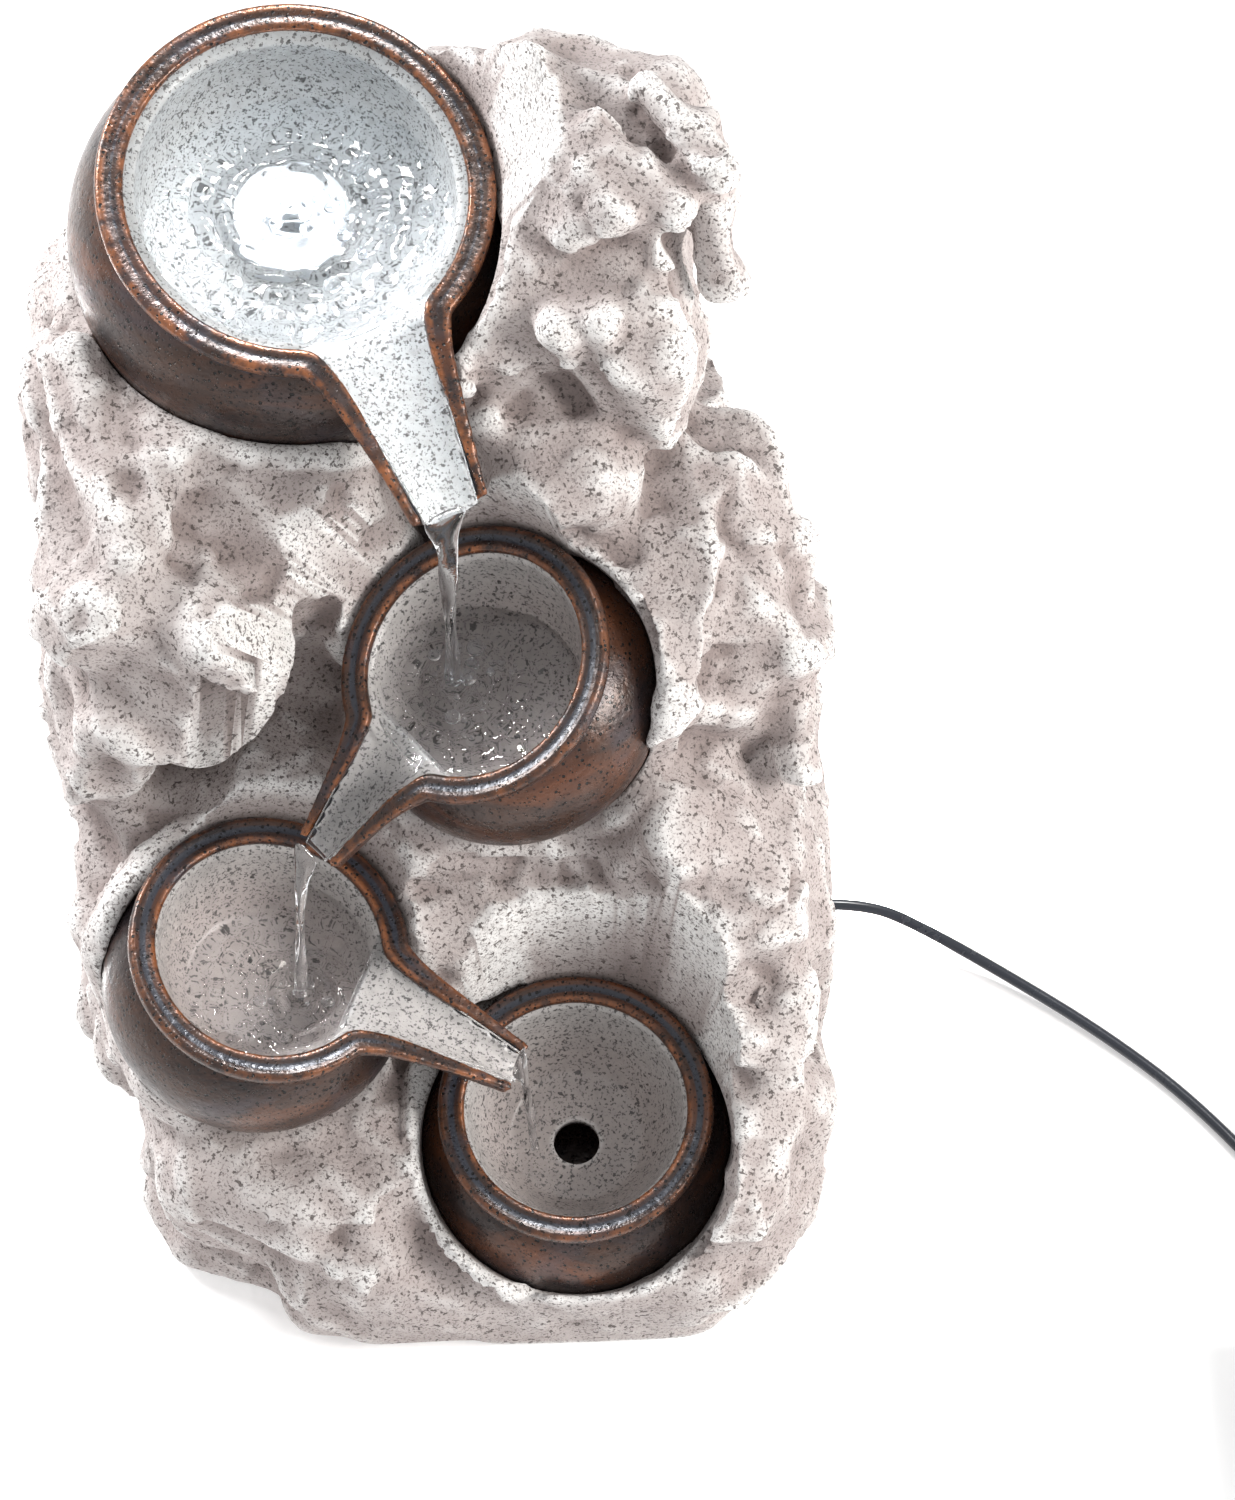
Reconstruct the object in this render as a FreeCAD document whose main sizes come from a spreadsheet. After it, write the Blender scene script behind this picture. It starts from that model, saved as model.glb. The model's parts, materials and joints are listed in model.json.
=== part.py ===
import FreeCAD, Part
import math
import os

from FreeCAD import Placement, Rotation, Vector

# Tabletop water fountain: a hollow cast rock carries four tilted pots, each with a stone
# liner. A pump in the reservoir lifts water through a hose to a lit nozzle in the top pot,
# and the water falls from spout to spout, and through a drain in the lowest pot it runs back.
# Frame: X to the right, Y to the back, Z up. The origin is at the bottom centre. Millimetres.

doc = FreeCAD.newDocument("water_fountain")

# ---------------------------------------------------------------- driving dimensions
DIMENSIONS = {
    # cast rock
    "rock_width": 204, "rock_depth": 256, "rock_top": 272, "foot_height": 3,
    "rock_wall": 8,
    # pots: outer radius of the belly and of the rim, how far the belly's widest ring and the
    # bottom lie under the rim, the liner's mouth and floor radius and its floor depth
    "top_belly": 53, "top_rim": 46.5, "top_waist": 26, "top_bottom": 61,
    "top_mouth": 40.5, "top_floor": 25, "top_deep": 31,
    "small_belly": 38, "small_rim": 34.5, "small_waist": 20, "small_bottom": 48,
    "small_mouth": 28, "small_floor": 18, "small_deep": 25,
    "low_belly": 41, "low_rim": 34.5, "low_waist": 23, "low_bottom": 51,
    "low_mouth": 28, "low_floor": 18, "low_deep": 25,
    "pot_base_share": 0.45, "pot_wall": 4, "rim_roll": 3, "liner_wall": 2.5,
    "liner_gap": 0.4, "rim_seat": 5, "pot_joint": 0.2,
    # spouts: reach from the rim's centre, widths at root and tip, fall below the rim plane
    "top_reach": 83, "top_root_width": 34, "top_tip_width": 19, "top_fall": 11,
    "second_reach": 59, "third_reach": 68, "small_root_width": 28, "small_tip_width": 12.5,
    "small_fall": 5, "spout_depth": 11, "spout_wall": 2.6,
    # space inside the rock
    "cavity_left": -66, "cavity_right": 80, "cavity_front": -39, "cavity_back": 100,
    "cavity_top": 66, "plate_lip": 8, "plate_thick": 3, "plate_play": 0.4,
    # reservoir
    "basin_left": -62, "basin_right": 56, "basin_front": -36, "basin_back": 94,
    "basin_height": 44, "basin_wall": 2.4,
    # drain from the lowest pot
    "drain_x": 34.5, "drain_z": 24, "drain_bore": 4.5, "drain_wall": 1.4, "drain_hole": 5.9,
    "seal_wall": 1.8,
    # rear door
    "door_width": 72, "door_bottom": 24, "door_height": 66, "door_thick": 4,
    "door_play": 0.4, "door_lip": 6, "gasket_thick": 1.5, "grip_depth": 7,
    # pump
    "pump_x": 2, "pump_y": 60, "pump_width": 42, "pump_length": 36, "pump_height": 34,
    "cup_height": 3, "cup_radius": 6, "rotor_z": 31, "volute_radius": 13, "volute_deep": 8,
    "well_radius": 7.2, "well_wall": 1.5, "well_deep": 18, "shaft_radius": 1,
    "shaft_play": 0.05, "magnet_radius": 6.3, "magnet_length": 14, "impeller_radius": 11,
    "impeller_thick": 5, "blade_count": 6, "bush_radius": 2.6, "bush_length": 2.5,
    "cover_thick": 3.5, "knob_radius": 8, "knob_thick": 3, "knob_bore": 2.5,
    "outlet_radius": 5, "outlet_bore": 3.4, "outlet_height": 11,
    # water line to the top pot
    "hose_wall": 1.7, "hose_play": 0.05, "nozzle_bore": 2.8, "nozzle_below": 8,
    "nozzle_above": 1.5,
    # light
    "light_radius": 14, "light_height": 8, "light_wall": 1.6, "light_boss": 6.6,
    "board_thick": 1.2, "lens_thick": 1.6, "chip_size": 3, "chip_height": 1,
    "chip_circle": 9.3, "light_seal": 1.4,
    # leads
    "lead_radius": 1.2, "cord_radius": 1.55, "cord_exit_y": -1, "cord_exit_z": 12,
    "gland_radius": 5, "gland_flange": 7, "gland_flange_thick": 2, "gland_seat_x": 91,
    "relief_length": 9, "relief_tip": 2.2, "splice_width": 12, "splice_length": 30,
    "splice_height": 12,
    # coiled cord and wall adapter
    "coil_x": 240, "coil_y": -70, "coil_radius": 17.5, "bundle_radius": 7,
    "adapter_x": 238, "adapter_y": -150, "adapter_width": 40, "adapter_length": 52,
    "adapter_height": 30, "adapter_face": 6, "adapter_relief": 12, "adapter_cord_z": 6,
    "pin_radius": 2, "pin_length": 19, "pin_spacing": 19,
    # fixings
    "screw_head": 3.2, "screw_head_thick": 1.4, "screw_shank": 1.5, "screw_length": 11,
    "foot_radius": 7,
}

sheet = doc.addObject("Spreadsheet::Sheet", "Dimensions")
for row, (alias, value) in enumerate(DIMENSIONS.items(), start=1):
    sheet.set(f"A{row}", alias)
    sheet.set(f"B{row}", str(value))
    sheet.setAlias(f"B{row}", alias)
doc.recompute()


class Sizes:
    """Reads a driving dimension from the sheet by its alias."""

    def __getattr__(self, alias):
        return float(sheet.get(alias))


size = Sizes()
subparts = {}  # node name: document object

# The layout below is written for the nominal rock and follows its overall sizes.
NOMINAL_WIDTH, NOMINAL_DEPTH, NOMINAL_TOP = 204.0, 256.0, 272.0
STRETCH = Vector(size.rock_width / NOMINAL_WIDTH, size.rock_depth / NOMINAL_DEPTH,
                 size.rock_top / NOMINAL_TOP)


def laid(x, y, z):
    """A place of the nominal layout, stretched with the rock."""
    return Vector(x * STRETCH.x, y * STRETCH.y, z * STRETCH.z)


# ---------------------------------------------------------------- helpers
def keep(node, obj):
    obj.Label = node
    subparts[node] = obj
    return obj


def bound(obj, **expressions):
    """Binds properties to the sheet; a double underscore in a name stands for a dot."""
    for prop, text in expressions.items():
        for alias in sorted(DIMENSIONS, key=len, reverse=True):
            text = swap_word(text, alias)
        obj.setExpression(prop.replace("__", "."), text)
    return obj


def swap_word(text, alias):
    """Puts the sheet's name before an alias where it stands as a whole word."""
    out, word = "", ""
    for letter in text + " ":
        if letter.isalnum() or letter in "_.":
            word += letter
        else:
            out += ("Dimensions." + word if word == alias else word) + letter
            word = ""
    return out.strip()


def placed(obj, x="0", y="0", z="0"):
    return bound(obj, Placement__Base__x=f"1 mm * ({x})", Placement__Base__y=f"1 mm * ({y})",
                 Placement__Base__z=f"1 mm * ({z})")


def box(name, length, width, height, x, y, z):
    """A block by expressions: its sizes along X, Y and Z, and its lowest corner."""
    obj = doc.addObject("Part::Box", name)
    bound(obj, Length=length, Width=width, Height=height)
    return placed(obj, x, y, z)


UP = Rotation()
BACK = Rotation(Vector(1, 0, 0), -90)    # a cylinder's axis along +Y
FRONT = Rotation(Vector(1, 0, 0), 90)    # along -Y
RIGHT = Rotation(Vector(0, 1, 0), 90)    # along +X


def cylinder(name, radius, height, x="0", y="0", z="0", turn=UP):
    obj = doc.addObject("Part::Cylinder", name)
    obj.Placement = Placement(Vector(), turn)
    bound(obj, Radius=radius, Height=height)
    return placed(obj, x, y, z)


def cone(name, radius_1, radius_2, height, x="0", y="0", z="0", turn=UP):
    obj = doc.addObject("Part::Cone", name)
    obj.Placement = Placement(Vector(), turn)
    bound(obj, Radius1=radius_1, Radius2=radius_2, Height=height)
    return placed(obj, x, y, z)


def cut(name, base, *tools):
    obj = doc.addObject("Part::Cut", name)
    obj.Base = base
    obj.Tool = tools[0] if len(tools) == 1 else fuse(name + "_tools", *tools)
    return obj


def fuse(name, *shapes):
    obj = doc.addObject("Part::MultiFuse", name)
    obj.Shapes = list(shapes)
    return obj


def group(name, *shapes):
    """Separate solids in one node."""
    obj = doc.addObject("Part::Compound", name)
    obj.Links = list(shapes)
    return obj


def feature(name, shape):
    obj = doc.addObject("Part::Feature", name)
    obj.Shape = shape
    return obj


def on_axis(radius, low, high, placement):
    """A cylinder shape between two heights of a local axis, moved to its place."""
    shape = Part.makeCylinder(radius, high - low, Vector(0, 0, low))
    return moved(shape, placement)


def moved(shape, placement):
    out = shape.copy()
    out.Placement = placement.multiply(out.Placement)
    return out


# ---------------------------------------------------------------- tubes on bent paths
ARC_SHARE = 0.45  # of the shorter run that one arc may take


def bent_path(points):
    """Straight runs joined by tangent arcs, with the arcs' radii."""
    edges, radii, start = [], [], points[0]
    for before, corner, after in zip(points, points[1:], points[2:]):
        arriving, leaving = corner - before, after - corner
        half_turn = arriving.getAngle(leaving) / 2
        shorter = min(arriving.Length, leaving.Length)
        radii.append(ARC_SHARE * shorter / math.tan(half_turn))
        into = Vector(arriving).normalize()
        onward = Vector(leaving).normalize()
        arc_start = corner - into * (ARC_SHARE * shorter)
        arc_end = corner + onward * (ARC_SHARE * shorter)
        inward = (onward - into).normalize()
        to_centre = radii[-1] / math.cos(half_turn)
        arc_middle = corner + inward * (to_centre - radii[-1])
        edges.append(Part.LineSegment(start, arc_start).toShape())
        edges.append(Part.Arc(arc_start, arc_middle, arc_end).toShape())
        start = arc_end
    edges.append(Part.LineSegment(start, points[-1]).toShape())
    return Part.Wire(edges), radii


def tube(name, points, radius, bore=0.0):
    """A round tube along a path; its volume is compared with section times length."""
    path, radii = bent_path(points)
    heading = (points[1] - points[0]).normalize()

    def swept(r):
        ring = Part.Wire(Part.makeCircle(r, points[0], heading))
        return path.makePipeShell([ring], True, True)

    shape = swept(radius)
    if bore:
        shape = shape.cut(swept(bore))
    expected = math.pi * (radius ** 2 - bore ** 2) * path.Length
    ratio = shape.Volume / expected
    print(f"{name}: {path.Length:.0f} mm, volume ratio {ratio:.4f}, radii",
          [round(r, 1) for r in radii])
    if abs(ratio - 1) > 0.01:
        raise ValueError(f"{name}: the tube's volume is off")
    return feature(name, shape)


# ---------------------------------------------------------------- pots and liners
class Pot:
    """One pot: its sizes, and where its rim's centre lies and how it leans."""

    def __init__(self, name, kind, centre, heading, lean_to, lean, reach=None):
        self.name, self.reach = name, reach
        spout_words = ("root_width", "tip_width", "fall") if reach else ()
        for word in ("belly", "rim", "waist", "bottom", "mouth", "floor", "deep", *spout_words):
            setattr(self, word, getattr(size, f"{kind}_{word}"))
        lean_axis = Vector(-math.sin(math.radians(lean_to)), math.cos(math.radians(lean_to)), 0)
        turn = Rotation(lean_axis, lean).multiply(Rotation(Vector(0, 0, 1), heading))
        self.placement = Placement(laid(*centre), turn)

    def at(self, x, y, z):
        return self.placement.multVec(Vector(x, y, z))

    def axis(self):
        return self.placement.Rotation.multVec(Vector(0, 0, 1))


POTS = [
    Pot("top_pot", "top", (-29.5, 68.1, 237.4), -62, -64, 16, size.top_reach),
    Pot("second_pot", "small", (10.5, -14, 160), -139, -150, 25, size.second_reach),
    Pot("third_pot", "small", (-40, -62, 105), -20, -20, 14, size.third_reach),
    Pot("bottom_pot", "low", (34.5, -85, 62), 0, -90, 8),
]
TOP_POT, BOTTOM_POT = POTS[0], POTS[3]


def revolved(edges):
    """Turns a closed profile in the XZ plane about Z."""
    face = Part.Face(Part.Wire(edges))
    return face.revolve(Vector(), Vector(0, 0, 1), 360)


def line(a, b):
    return Part.LineSegment(Vector(a[0], 0, a[1]), Vector(b[0], 0, b[1])).toShape()


def arc(a, b, c):
    return Part.Arc(*[Vector(p[0], 0, p[1]) for p in (a, b, c)]).toShape()


def belly_profile(pot, inset, top):
    """The pot's round side from the bottom's edge, over the waist, to a height near the rim."""
    base = pot.belly * size.pot_base_share
    low = (base, -pot.bottom + inset)
    wide = (pot.belly - inset, -pot.waist)
    high = (pot.rim - size.rim_roll - inset, top)
    return low, wide, high


def outer_body(pot, grow=0.0):
    """The pot's full outer form, with no hollow."""
    low, wide, high = belly_profile(pot, -grow, -2 * size.rim_roll)
    roll_out = (pot.rim + grow, -size.rim_roll)
    roll_top = (pot.rim - size.rim_roll, grow)
    roll_edge = (pot.rim - size.rim_roll * 0.3 + grow, -size.rim_roll * 0.3 + grow)
    edges = [line((0, low[1]), low), arc(low, wide, high), line(high, roll_out),
             arc(roll_out, roll_edge, roll_top), line(roll_top, (0, grow)),
             line((0, grow), (0, low[1]))]
    return revolved(edges)


def pot_hollow(pot):
    """The space inside the pot's wall: the liner's seat above, and a round chamber below."""
    seat = pot.mouth + size.liner_wall + size.liner_gap
    ledge = seat - size.liner_wall
    low, wide, high = belly_profile(pot, size.pot_wall, -size.rim_seat - 2)
    wide = (min(wide[0], pot.belly - size.pot_wall), wide[1])
    edges = [line((0, low[1]), low), arc(low, wide, (ledge, -size.rim_seat - 2)),
             line((ledge, -size.rim_seat - 2), (ledge, -size.rim_seat)),
             line((ledge, -size.rim_seat), (seat, -size.rim_seat)),
             line((seat, -size.rim_seat), (seat, 1)), line((seat, 1), (0, 1)),
             line((0, 1), (0, low[1]))]
    return revolved(edges)


def spout_section(pot, x, inset, rise):
    """A closed U section across the spout at x along it; rise lifts its open top."""
    share = (x - pot.mouth) / (pot.reach - pot.mouth)
    half = (pot.root_width + share * (pot.tip_width - pot.root_width)) / 2 - inset
    deep = size.spout_depth * (1 - 0.25 * share) - inset
    top = -pot.fall * max(share, 0)
    points = [(-half, top + rise), (-half, top - deep * 0.45), (-half * 0.55, top - deep),
              (half * 0.55, top - deep), (half, top - deep * 0.45), (half, top + rise)]
    corners = [Vector(x, y, z) for y, z in points]
    return Part.makePolygon(corners + corners[:1])


def spout(pot, inset, rise, start, end):
    """The spout's form between two places along it: level up to the mouth, then falling."""
    rings = [spout_section(pot, x, inset, rise) for x in (start, pot.mouth, end)]
    return Part.makeLoft(rings, True, True)


CHANNEL_RISE = 6.0  # how far cutting forms stand above the spout's open top
TIP_CUT = 2.0       # how far cutting forms run past the tip


def make_pot(pot):
    body = outer_body(pot)
    if pot.reach:
        body = body.fuse(spout(pot, 0, 0, pot.mouth * 0.7, pot.reach))
    body = body.cut(pot_hollow(pot))
    if pot.reach:
        body = body.cut(spout(pot, size.spout_wall, CHANNEL_RISE, 0, pot.reach + TIP_CUT))
    return body


def make_liner(pot):
    seat = pot.mouth + size.liner_wall
    ledge = seat - size.liner_wall
    deep = pot.deep + size.liner_wall
    bend = (pot.mouth - 1, -pot.deep * 0.55)
    outer = [line((0, -deep), (pot.floor, -deep)),
             arc((pot.floor, -deep), (bend[0] - 1, bend[1] - 3), (ledge - 1, -size.rim_seat)),
             line((ledge - 1, -size.rim_seat), (seat, -size.rim_seat)),
             line((seat, -size.rim_seat), (seat, -1)), line((seat, -1), (0, -1)),
             line((0, -1), (0, -deep))]
    mouth = pot.mouth - size.liner_gap
    inner = [line((0, -pot.deep), (pot.floor - 1, -pot.deep)),
             arc((pot.floor - 1, -pot.deep), (bend[0] - 4, bend[1]), (mouth, -1)),
             line((mouth, -1), (mouth, 1)), line((mouth, 1), (0, 1)),
             line((0, 1), (0, -pot.deep))]
    body = revolved(outer)
    if pot.reach:
        gap = size.spout_wall + size.liner_gap
        body = body.fuse(spout(pot, gap, -1, pot.floor * 0.6, pot.reach - 1))
    body = body.cut(revolved(inner))
    if pot.reach:
        bed = size.spout_wall + size.liner_gap + size.liner_wall
        body = body.cut(spout(pot, bed, CHANNEL_RISE, 0, pot.reach + TIP_CUT))
    return body


HEADROOM, SIDE_ROOM = 70.0, 4.0


def pocket(pot, wall=0.0):
    """What the rock leaves out for a pot: its form with a joint, and the air above it."""
    room = outer_body(pot, size.pot_joint + wall)
    above = Part.makeCylinder(pot.rim + SIDE_ROOM + wall, HEADROOM, Vector(0, 0, -2 - wall))
    room = room.fuse(above)
    if pot.reach:
        reach = pot.reach + SIDE_ROOM + wall
        width = pot.root_width + 2 * (SIDE_ROOM + wall)
        low = -size.spout_depth - pot.fall - 1 - wall
        lane = Part.makeBox(reach, width, HEADROOM, Vector(0, -width / 2, low))
        room = room.fuse(lane)
    return moved(room, pot.placement)


# ---------------------------------------------------------------- the rock
# Each boulder is a bevelled block: its centre, half sizes, turn about Z and bevel.
BOULDERS = {
    "front_right": ((44, -80, 24), (50, 46, 38), 4, 24),
    "front_left": ((-34, -68, 24), (44, 44, 38), -14, 22),
    "front_sill": ((-4, -96, 20), (40, 32, 22), 0, 12),
    "right_foot": ((60, -4, 44), (42, 64, 56), 5, 18),
    "left_foot": ((-60, 16, 52), (42, 80, 60), 6, 18),
    "back_foot": ((-12, 72, 68), (84, 56, 82), 0, 18),
    "back_toe": ((70, 58, 16), (30, 56, 24), 6, 10),
    "middle": ((0, 2, 62), (66, 46, 62), 5, 14),
    "left_slab": ((-56, 52, 146), (46, 56, 56), 7, 16),
    "right_shoulder": ((54, 24, 120), (40, 44, 54), 14, 18),
    "upper": ((28, 76, 184), (43, 42, 62), 4, 14),
    "peak": ((42, 78, 236), (31, 27, 40), -8, 13),
}


def boulder(centre, half, turn, bevel):
    block = Part.makeBox(2 * half.x, 2 * half.y, 2 * half.z, half * -1)
    bevel = min(bevel, half.x / 2, half.y / 2, half.z / 2)
    block = block.makeChamfer(bevel, block.Edges)
    return moved(block, Placement(centre, Rotation(Vector(0, 0, 1), turn)))


def boulders(wall=0.0):
    """Every boulder, each a wall smaller all round."""
    less = Vector(wall, wall, wall)
    return [boulder(laid(*centre), laid(*half) - less, turn, bevel)
            for centre, half, turn, bevel in BOULDERS.values()]


def rock_outside():
    first, *rest = boulders()
    mass = first.multiFuse(rest)
    frame = Part.makeBox(size.rock_width, size.rock_depth, size.rock_top - size.foot_height,
                         Vector(-size.rock_width / 2, -size.rock_depth / 2, size.foot_height))
    return mass.common(frame).removeSplitter()


def block_between(low, high):
    return Part.makeBox(high[0] - low[0], high[1] - low[1], high[2] - low[2], Vector(*low))


PLATE_LEFT = size.cavity_left - size.plate_lip
PLATE_RIGHT = size.cavity_right + size.plate_lip
PLATE_FRONT = size.cavity_front - size.plate_lip
PLATE_BACK = size.cavity_back + size.plate_lip
PLATE_TOP = size.foot_height + size.plate_thick
ROCK_BACK = size.rock_depth / 2
DOOR_INNER = ROCK_BACK - size.door_thick
GASKET_SEAT = DOOR_INNER - size.gasket_thick


def rock_cavity():
    """The hollow: the boulders again, a wall smaller, less a wall's room round each pot."""
    wall = size.rock_wall
    first, *rest = boulders(wall)
    hollow = first.multiFuse(rest)
    half_width, half_depth = size.rock_width / 2 - wall, size.rock_depth / 2 - wall
    hollow = hollow.common(block_between((-half_width, -half_depth, PLATE_TOP + wall),
                                         (half_width, half_depth, size.rock_top - wall)))
    for pot in POTS:
        hollow = hollow.cut(pocket(pot, wall))
    hollow = hollow.cut(block_between((size.cavity_right, size.cord_exit_y - 16, 0),
                                      (size.rock_width, size.cord_exit_y + 16, 36)))
    bottom = TOP_POT.at(0, 0, -TOP_POT.bottom)
    duct_half = 20
    duct = block_between((bottom.x - duct_half, bottom.y - duct_half, bottom.z - 60),
                         (bottom.x + duct_half, bottom.y + duct_half, bottom.z + 3))
    opening = block_between((size.cavity_left, size.cavity_front, 0),
                            (size.cavity_right, size.cavity_back, size.cavity_top))
    recess = block_between((PLATE_LEFT, PLATE_FRONT, 0), (PLATE_RIGHT, PLATE_BACK, PLATE_TOP))
    return hollow.multiFuse([duct, opening, recess])


SCREW_INSET, SCREW_END = 4.0, 12.0
SCREW_PLACES = [(x, y) for x in (PLATE_LEFT + SCREW_INSET, PLATE_RIGHT - SCREW_INSET)
                for y in (PLATE_FRONT + SCREW_END, PLATE_BACK - SCREW_END)]


DOOR_HALF = size.door_width / 2
DOOR_LOW, DOOR_HIGH = size.door_bottom, size.door_bottom + size.door_height


def door_block(edge, front, back):
    """A block round the door opening, wider than it by edge, between two depths."""
    return block_between((-DOOR_HALF - edge, front, DOOR_LOW - edge),
                         (DOOR_HALF + edge, back, DOOR_HIGH + edge))


def make_rock():
    rock = rock_outside()
    rock = rock.cut(rock_cavity())
    for pot in POTS:
        rock = rock.cut(pocket(pot))
    rock = rock.cut(door_block(0, size.cavity_back - 1, ROCK_BACK))
    rock = rock.cut(door_block(size.door_lip + size.door_play, GASKET_SEAT, ROCK_BACK))
    gland_way = Part.makeCylinder(size.gland_radius + 0.2, 60, GLAND_START, Vector(1, 0, 0))
    gland_seat = Part.makeCylinder(size.gland_flange + 1.5, 60, GLAND_SEAT, Vector(1, 0, 0))
    rock = rock.cut(gland_way).cut(gland_seat)
    rock = rock.cut(Part.makeCylinder(size.drain_bore + size.drain_wall + size.seal_wall,
                                      DRAIN_END - DRAIN_START, DRAIN_AT, Vector(0, 1, 0)))
    for x, y in SCREW_PLACES:
        rock = rock.cut(Part.makeCylinder(size.screw_shank, size.screw_length + 1,
                                          Vector(x, y, size.foot_height)))
    return max(rock.Solids, key=lambda solid: solid.Volume)


GLAND_START = Vector(size.cavity_right - 1, size.cord_exit_y, size.cord_exit_z)
GLAND_SEAT = Vector(size.gland_seat_x, size.cord_exit_y, size.cord_exit_z)
DRAIN_START = BOTTOM_POT.placement.Base.y + size.low_belly * 0.6
DRAIN_END = size.basin_front + size.basin_wall + 4
DRAIN_AT = Vector(size.drain_x, DRAIN_START, size.drain_z)

keep("rock_shell", feature("rock", make_rock()))

# ---------------------------------------------------------------- pots
for pot in POTS:
    body, liner = make_pot(pot), make_liner(pot)
    if pot is TOP_POT:
        seal_hole = Part.makeCylinder(size.outlet_radius + size.light_seal, 30,
                                      Vector(0, 0, -pot.bottom - 5))
        body = body.cut(seal_hole)
        lead_hole = Part.makeCylinder(size.lead_radius + 0.3, 80, Vector(size.chip_circle, 0, -pot.bottom - 5))
        nozzle_hole = Part.makeCylinder(size.outlet_radius + 0.05, 20, Vector(0, 0, -pot.deep - 8))
        body = body.cut(lead_hole)
        liner = liner.cut(nozzle_hole).cut(lead_hole)
    if pot is BOTTOM_POT:
        liner = liner.cut(Part.makeCylinder(size.drain_hole, 20, Vector(0, -1.5, -pot.deep - 8)))
    body, liner = moved(body, pot.placement), moved(liner, pot.placement)
    if pot is BOTTOM_POT:
        seal_radius = size.drain_bore + size.drain_wall + size.seal_wall + 0.05
        body = body.cut(Part.makeCylinder(seal_radius, DRAIN_END - DRAIN_START,
                                          DRAIN_AT, Vector(0, 1, 0)))
    keep(pot.name + "_body", feature(pot.name, body))
    keep(pot.name + "_liner", feature(pot.name + "_stone", liner))

doc.recompute()

# ---------------------------------------------------------------- base
POINTS_DOWN = Rotation(Vector(1, 0, 0), 180)

plate = box("plate", "cavity_right - cavity_left + 2 * plate_lip - 2 * plate_play",
            "cavity_back - cavity_front + 2 * plate_lip - 2 * plate_play", "plate_thick",
            "cavity_left - plate_lip + plate_play", "cavity_front - plate_lip + plate_play",
            "foot_height")
holes, screws = [], []
for index, (x_text, y_text) in enumerate(
        (x, y)
        for x in (f"cavity_left - plate_lip + {SCREW_INSET}",
                  f"cavity_right + plate_lip - {SCREW_INSET}")
        for y in (f"cavity_front - plate_lip + {SCREW_END}",
                  f"cavity_back + plate_lip - {SCREW_END}")):
    head_z = "foot_height"
    holes += [cone(f"plate_sink_{index}", "screw_head + 0.1", "screw_shank + 0.1",
                   "screw_head_thick", x_text, y_text, head_z),
              cylinder(f"plate_hole_{index}", "screw_shank + 0.1", "plate_thick", x_text,
                       y_text, head_z)]
    screws.append(fuse(f"screw_{index}",
                       cone(f"screw_head_{index}", "screw_head", "screw_shank",
                            "screw_head_thick", x_text, y_text, head_z),
                       cylinder(f"screw_shank_{index}", "screw_shank - 0.05", "screw_length",
                                x_text, y_text, head_z)))
keep("base_plate", cut("base", plate, *holes))
keep("base_screws", group("screws", *screws))

FOOT_PLACES = [(-44, -88), (52, -104), (-58, 90), (70, 90)]
feet = []
for index, (x, y) in enumerate(FOOT_PLACES):
    centre = laid(x, y, 0)
    feet.append(cone(f"foot_{index}", "foot_radius - 1", "foot_radius", "foot_height",
                     f"{centre.x}", f"{centre.y}"))
keep("rubber_feet", group("feet", *feet))

# ---------------------------------------------------------------- reservoir and drain
BASIN_Z = "foot_height + plate_thick"
basin_outside = box("basin_outside", "basin_right - basin_left", "basin_back - basin_front",
                    "basin_height", "basin_left", "basin_front", BASIN_Z)
basin_round = doc.addObject("Part::Fillet", "basin_round")
basin_round.Base = basin_outside
doc.recompute()
UPRIGHT = [index for index, edge in enumerate(basin_outside.Shape.Edges, start=1)
           if edge.BoundBox.ZLength > 1]
basin_round.Edges = [(index, 8.0, 8.0) for index in UPRIGHT]
basin_inside = box("basin_inside", "basin_right - basin_left - 2 * basin_wall",
                   "basin_back - basin_front - 2 * basin_wall", "basin_height",
                   "basin_left + basin_wall", "basin_front + basin_wall",
                   BASIN_Z + " + basin_wall")
inside_round = doc.addObject("Part::Fillet", "inside_round")
inside_round.Base = basin_inside
inside_round.Edges = [(index, 6.0, 6.0) for index in UPRIGHT]
drain_way = cylinder("drain_way", "drain_bore + drain_wall + seal_wall", "4 * basin_wall",
                     "drain_x", "basin_front - basin_wall", "drain_z", BACK)
keep("reservoir_basin", cut("basin", basin_round, inside_round, drain_way))


def ring_along_y(outer, inner, start, end):
    """A ring about the drain's axis between two places along Y."""
    here = Vector(size.drain_x, start, size.drain_z)
    ring = Part.makeCylinder(outer, end - start, here, Vector(0, 1, 0))
    return ring.cut(Part.makeCylinder(inner, end - start, here, Vector(0, 1, 0)))


drain_outside = size.drain_bore + size.drain_wall
keep("drain_tube", feature("drain", ring_along_y(drain_outside, size.drain_bore,
                                                 DRAIN_START, DRAIN_END)))
seal_rings = [ring_along_y(drain_outside + size.seal_wall, drain_outside, *span)
              for span in ((DRAIN_START, DRAIN_START + 9),
                           (size.basin_front - 3, size.basin_front + size.basin_wall))]
keep("drain_seals", feature("drain_rings", Part.makeCompound(seal_rings)))

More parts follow.
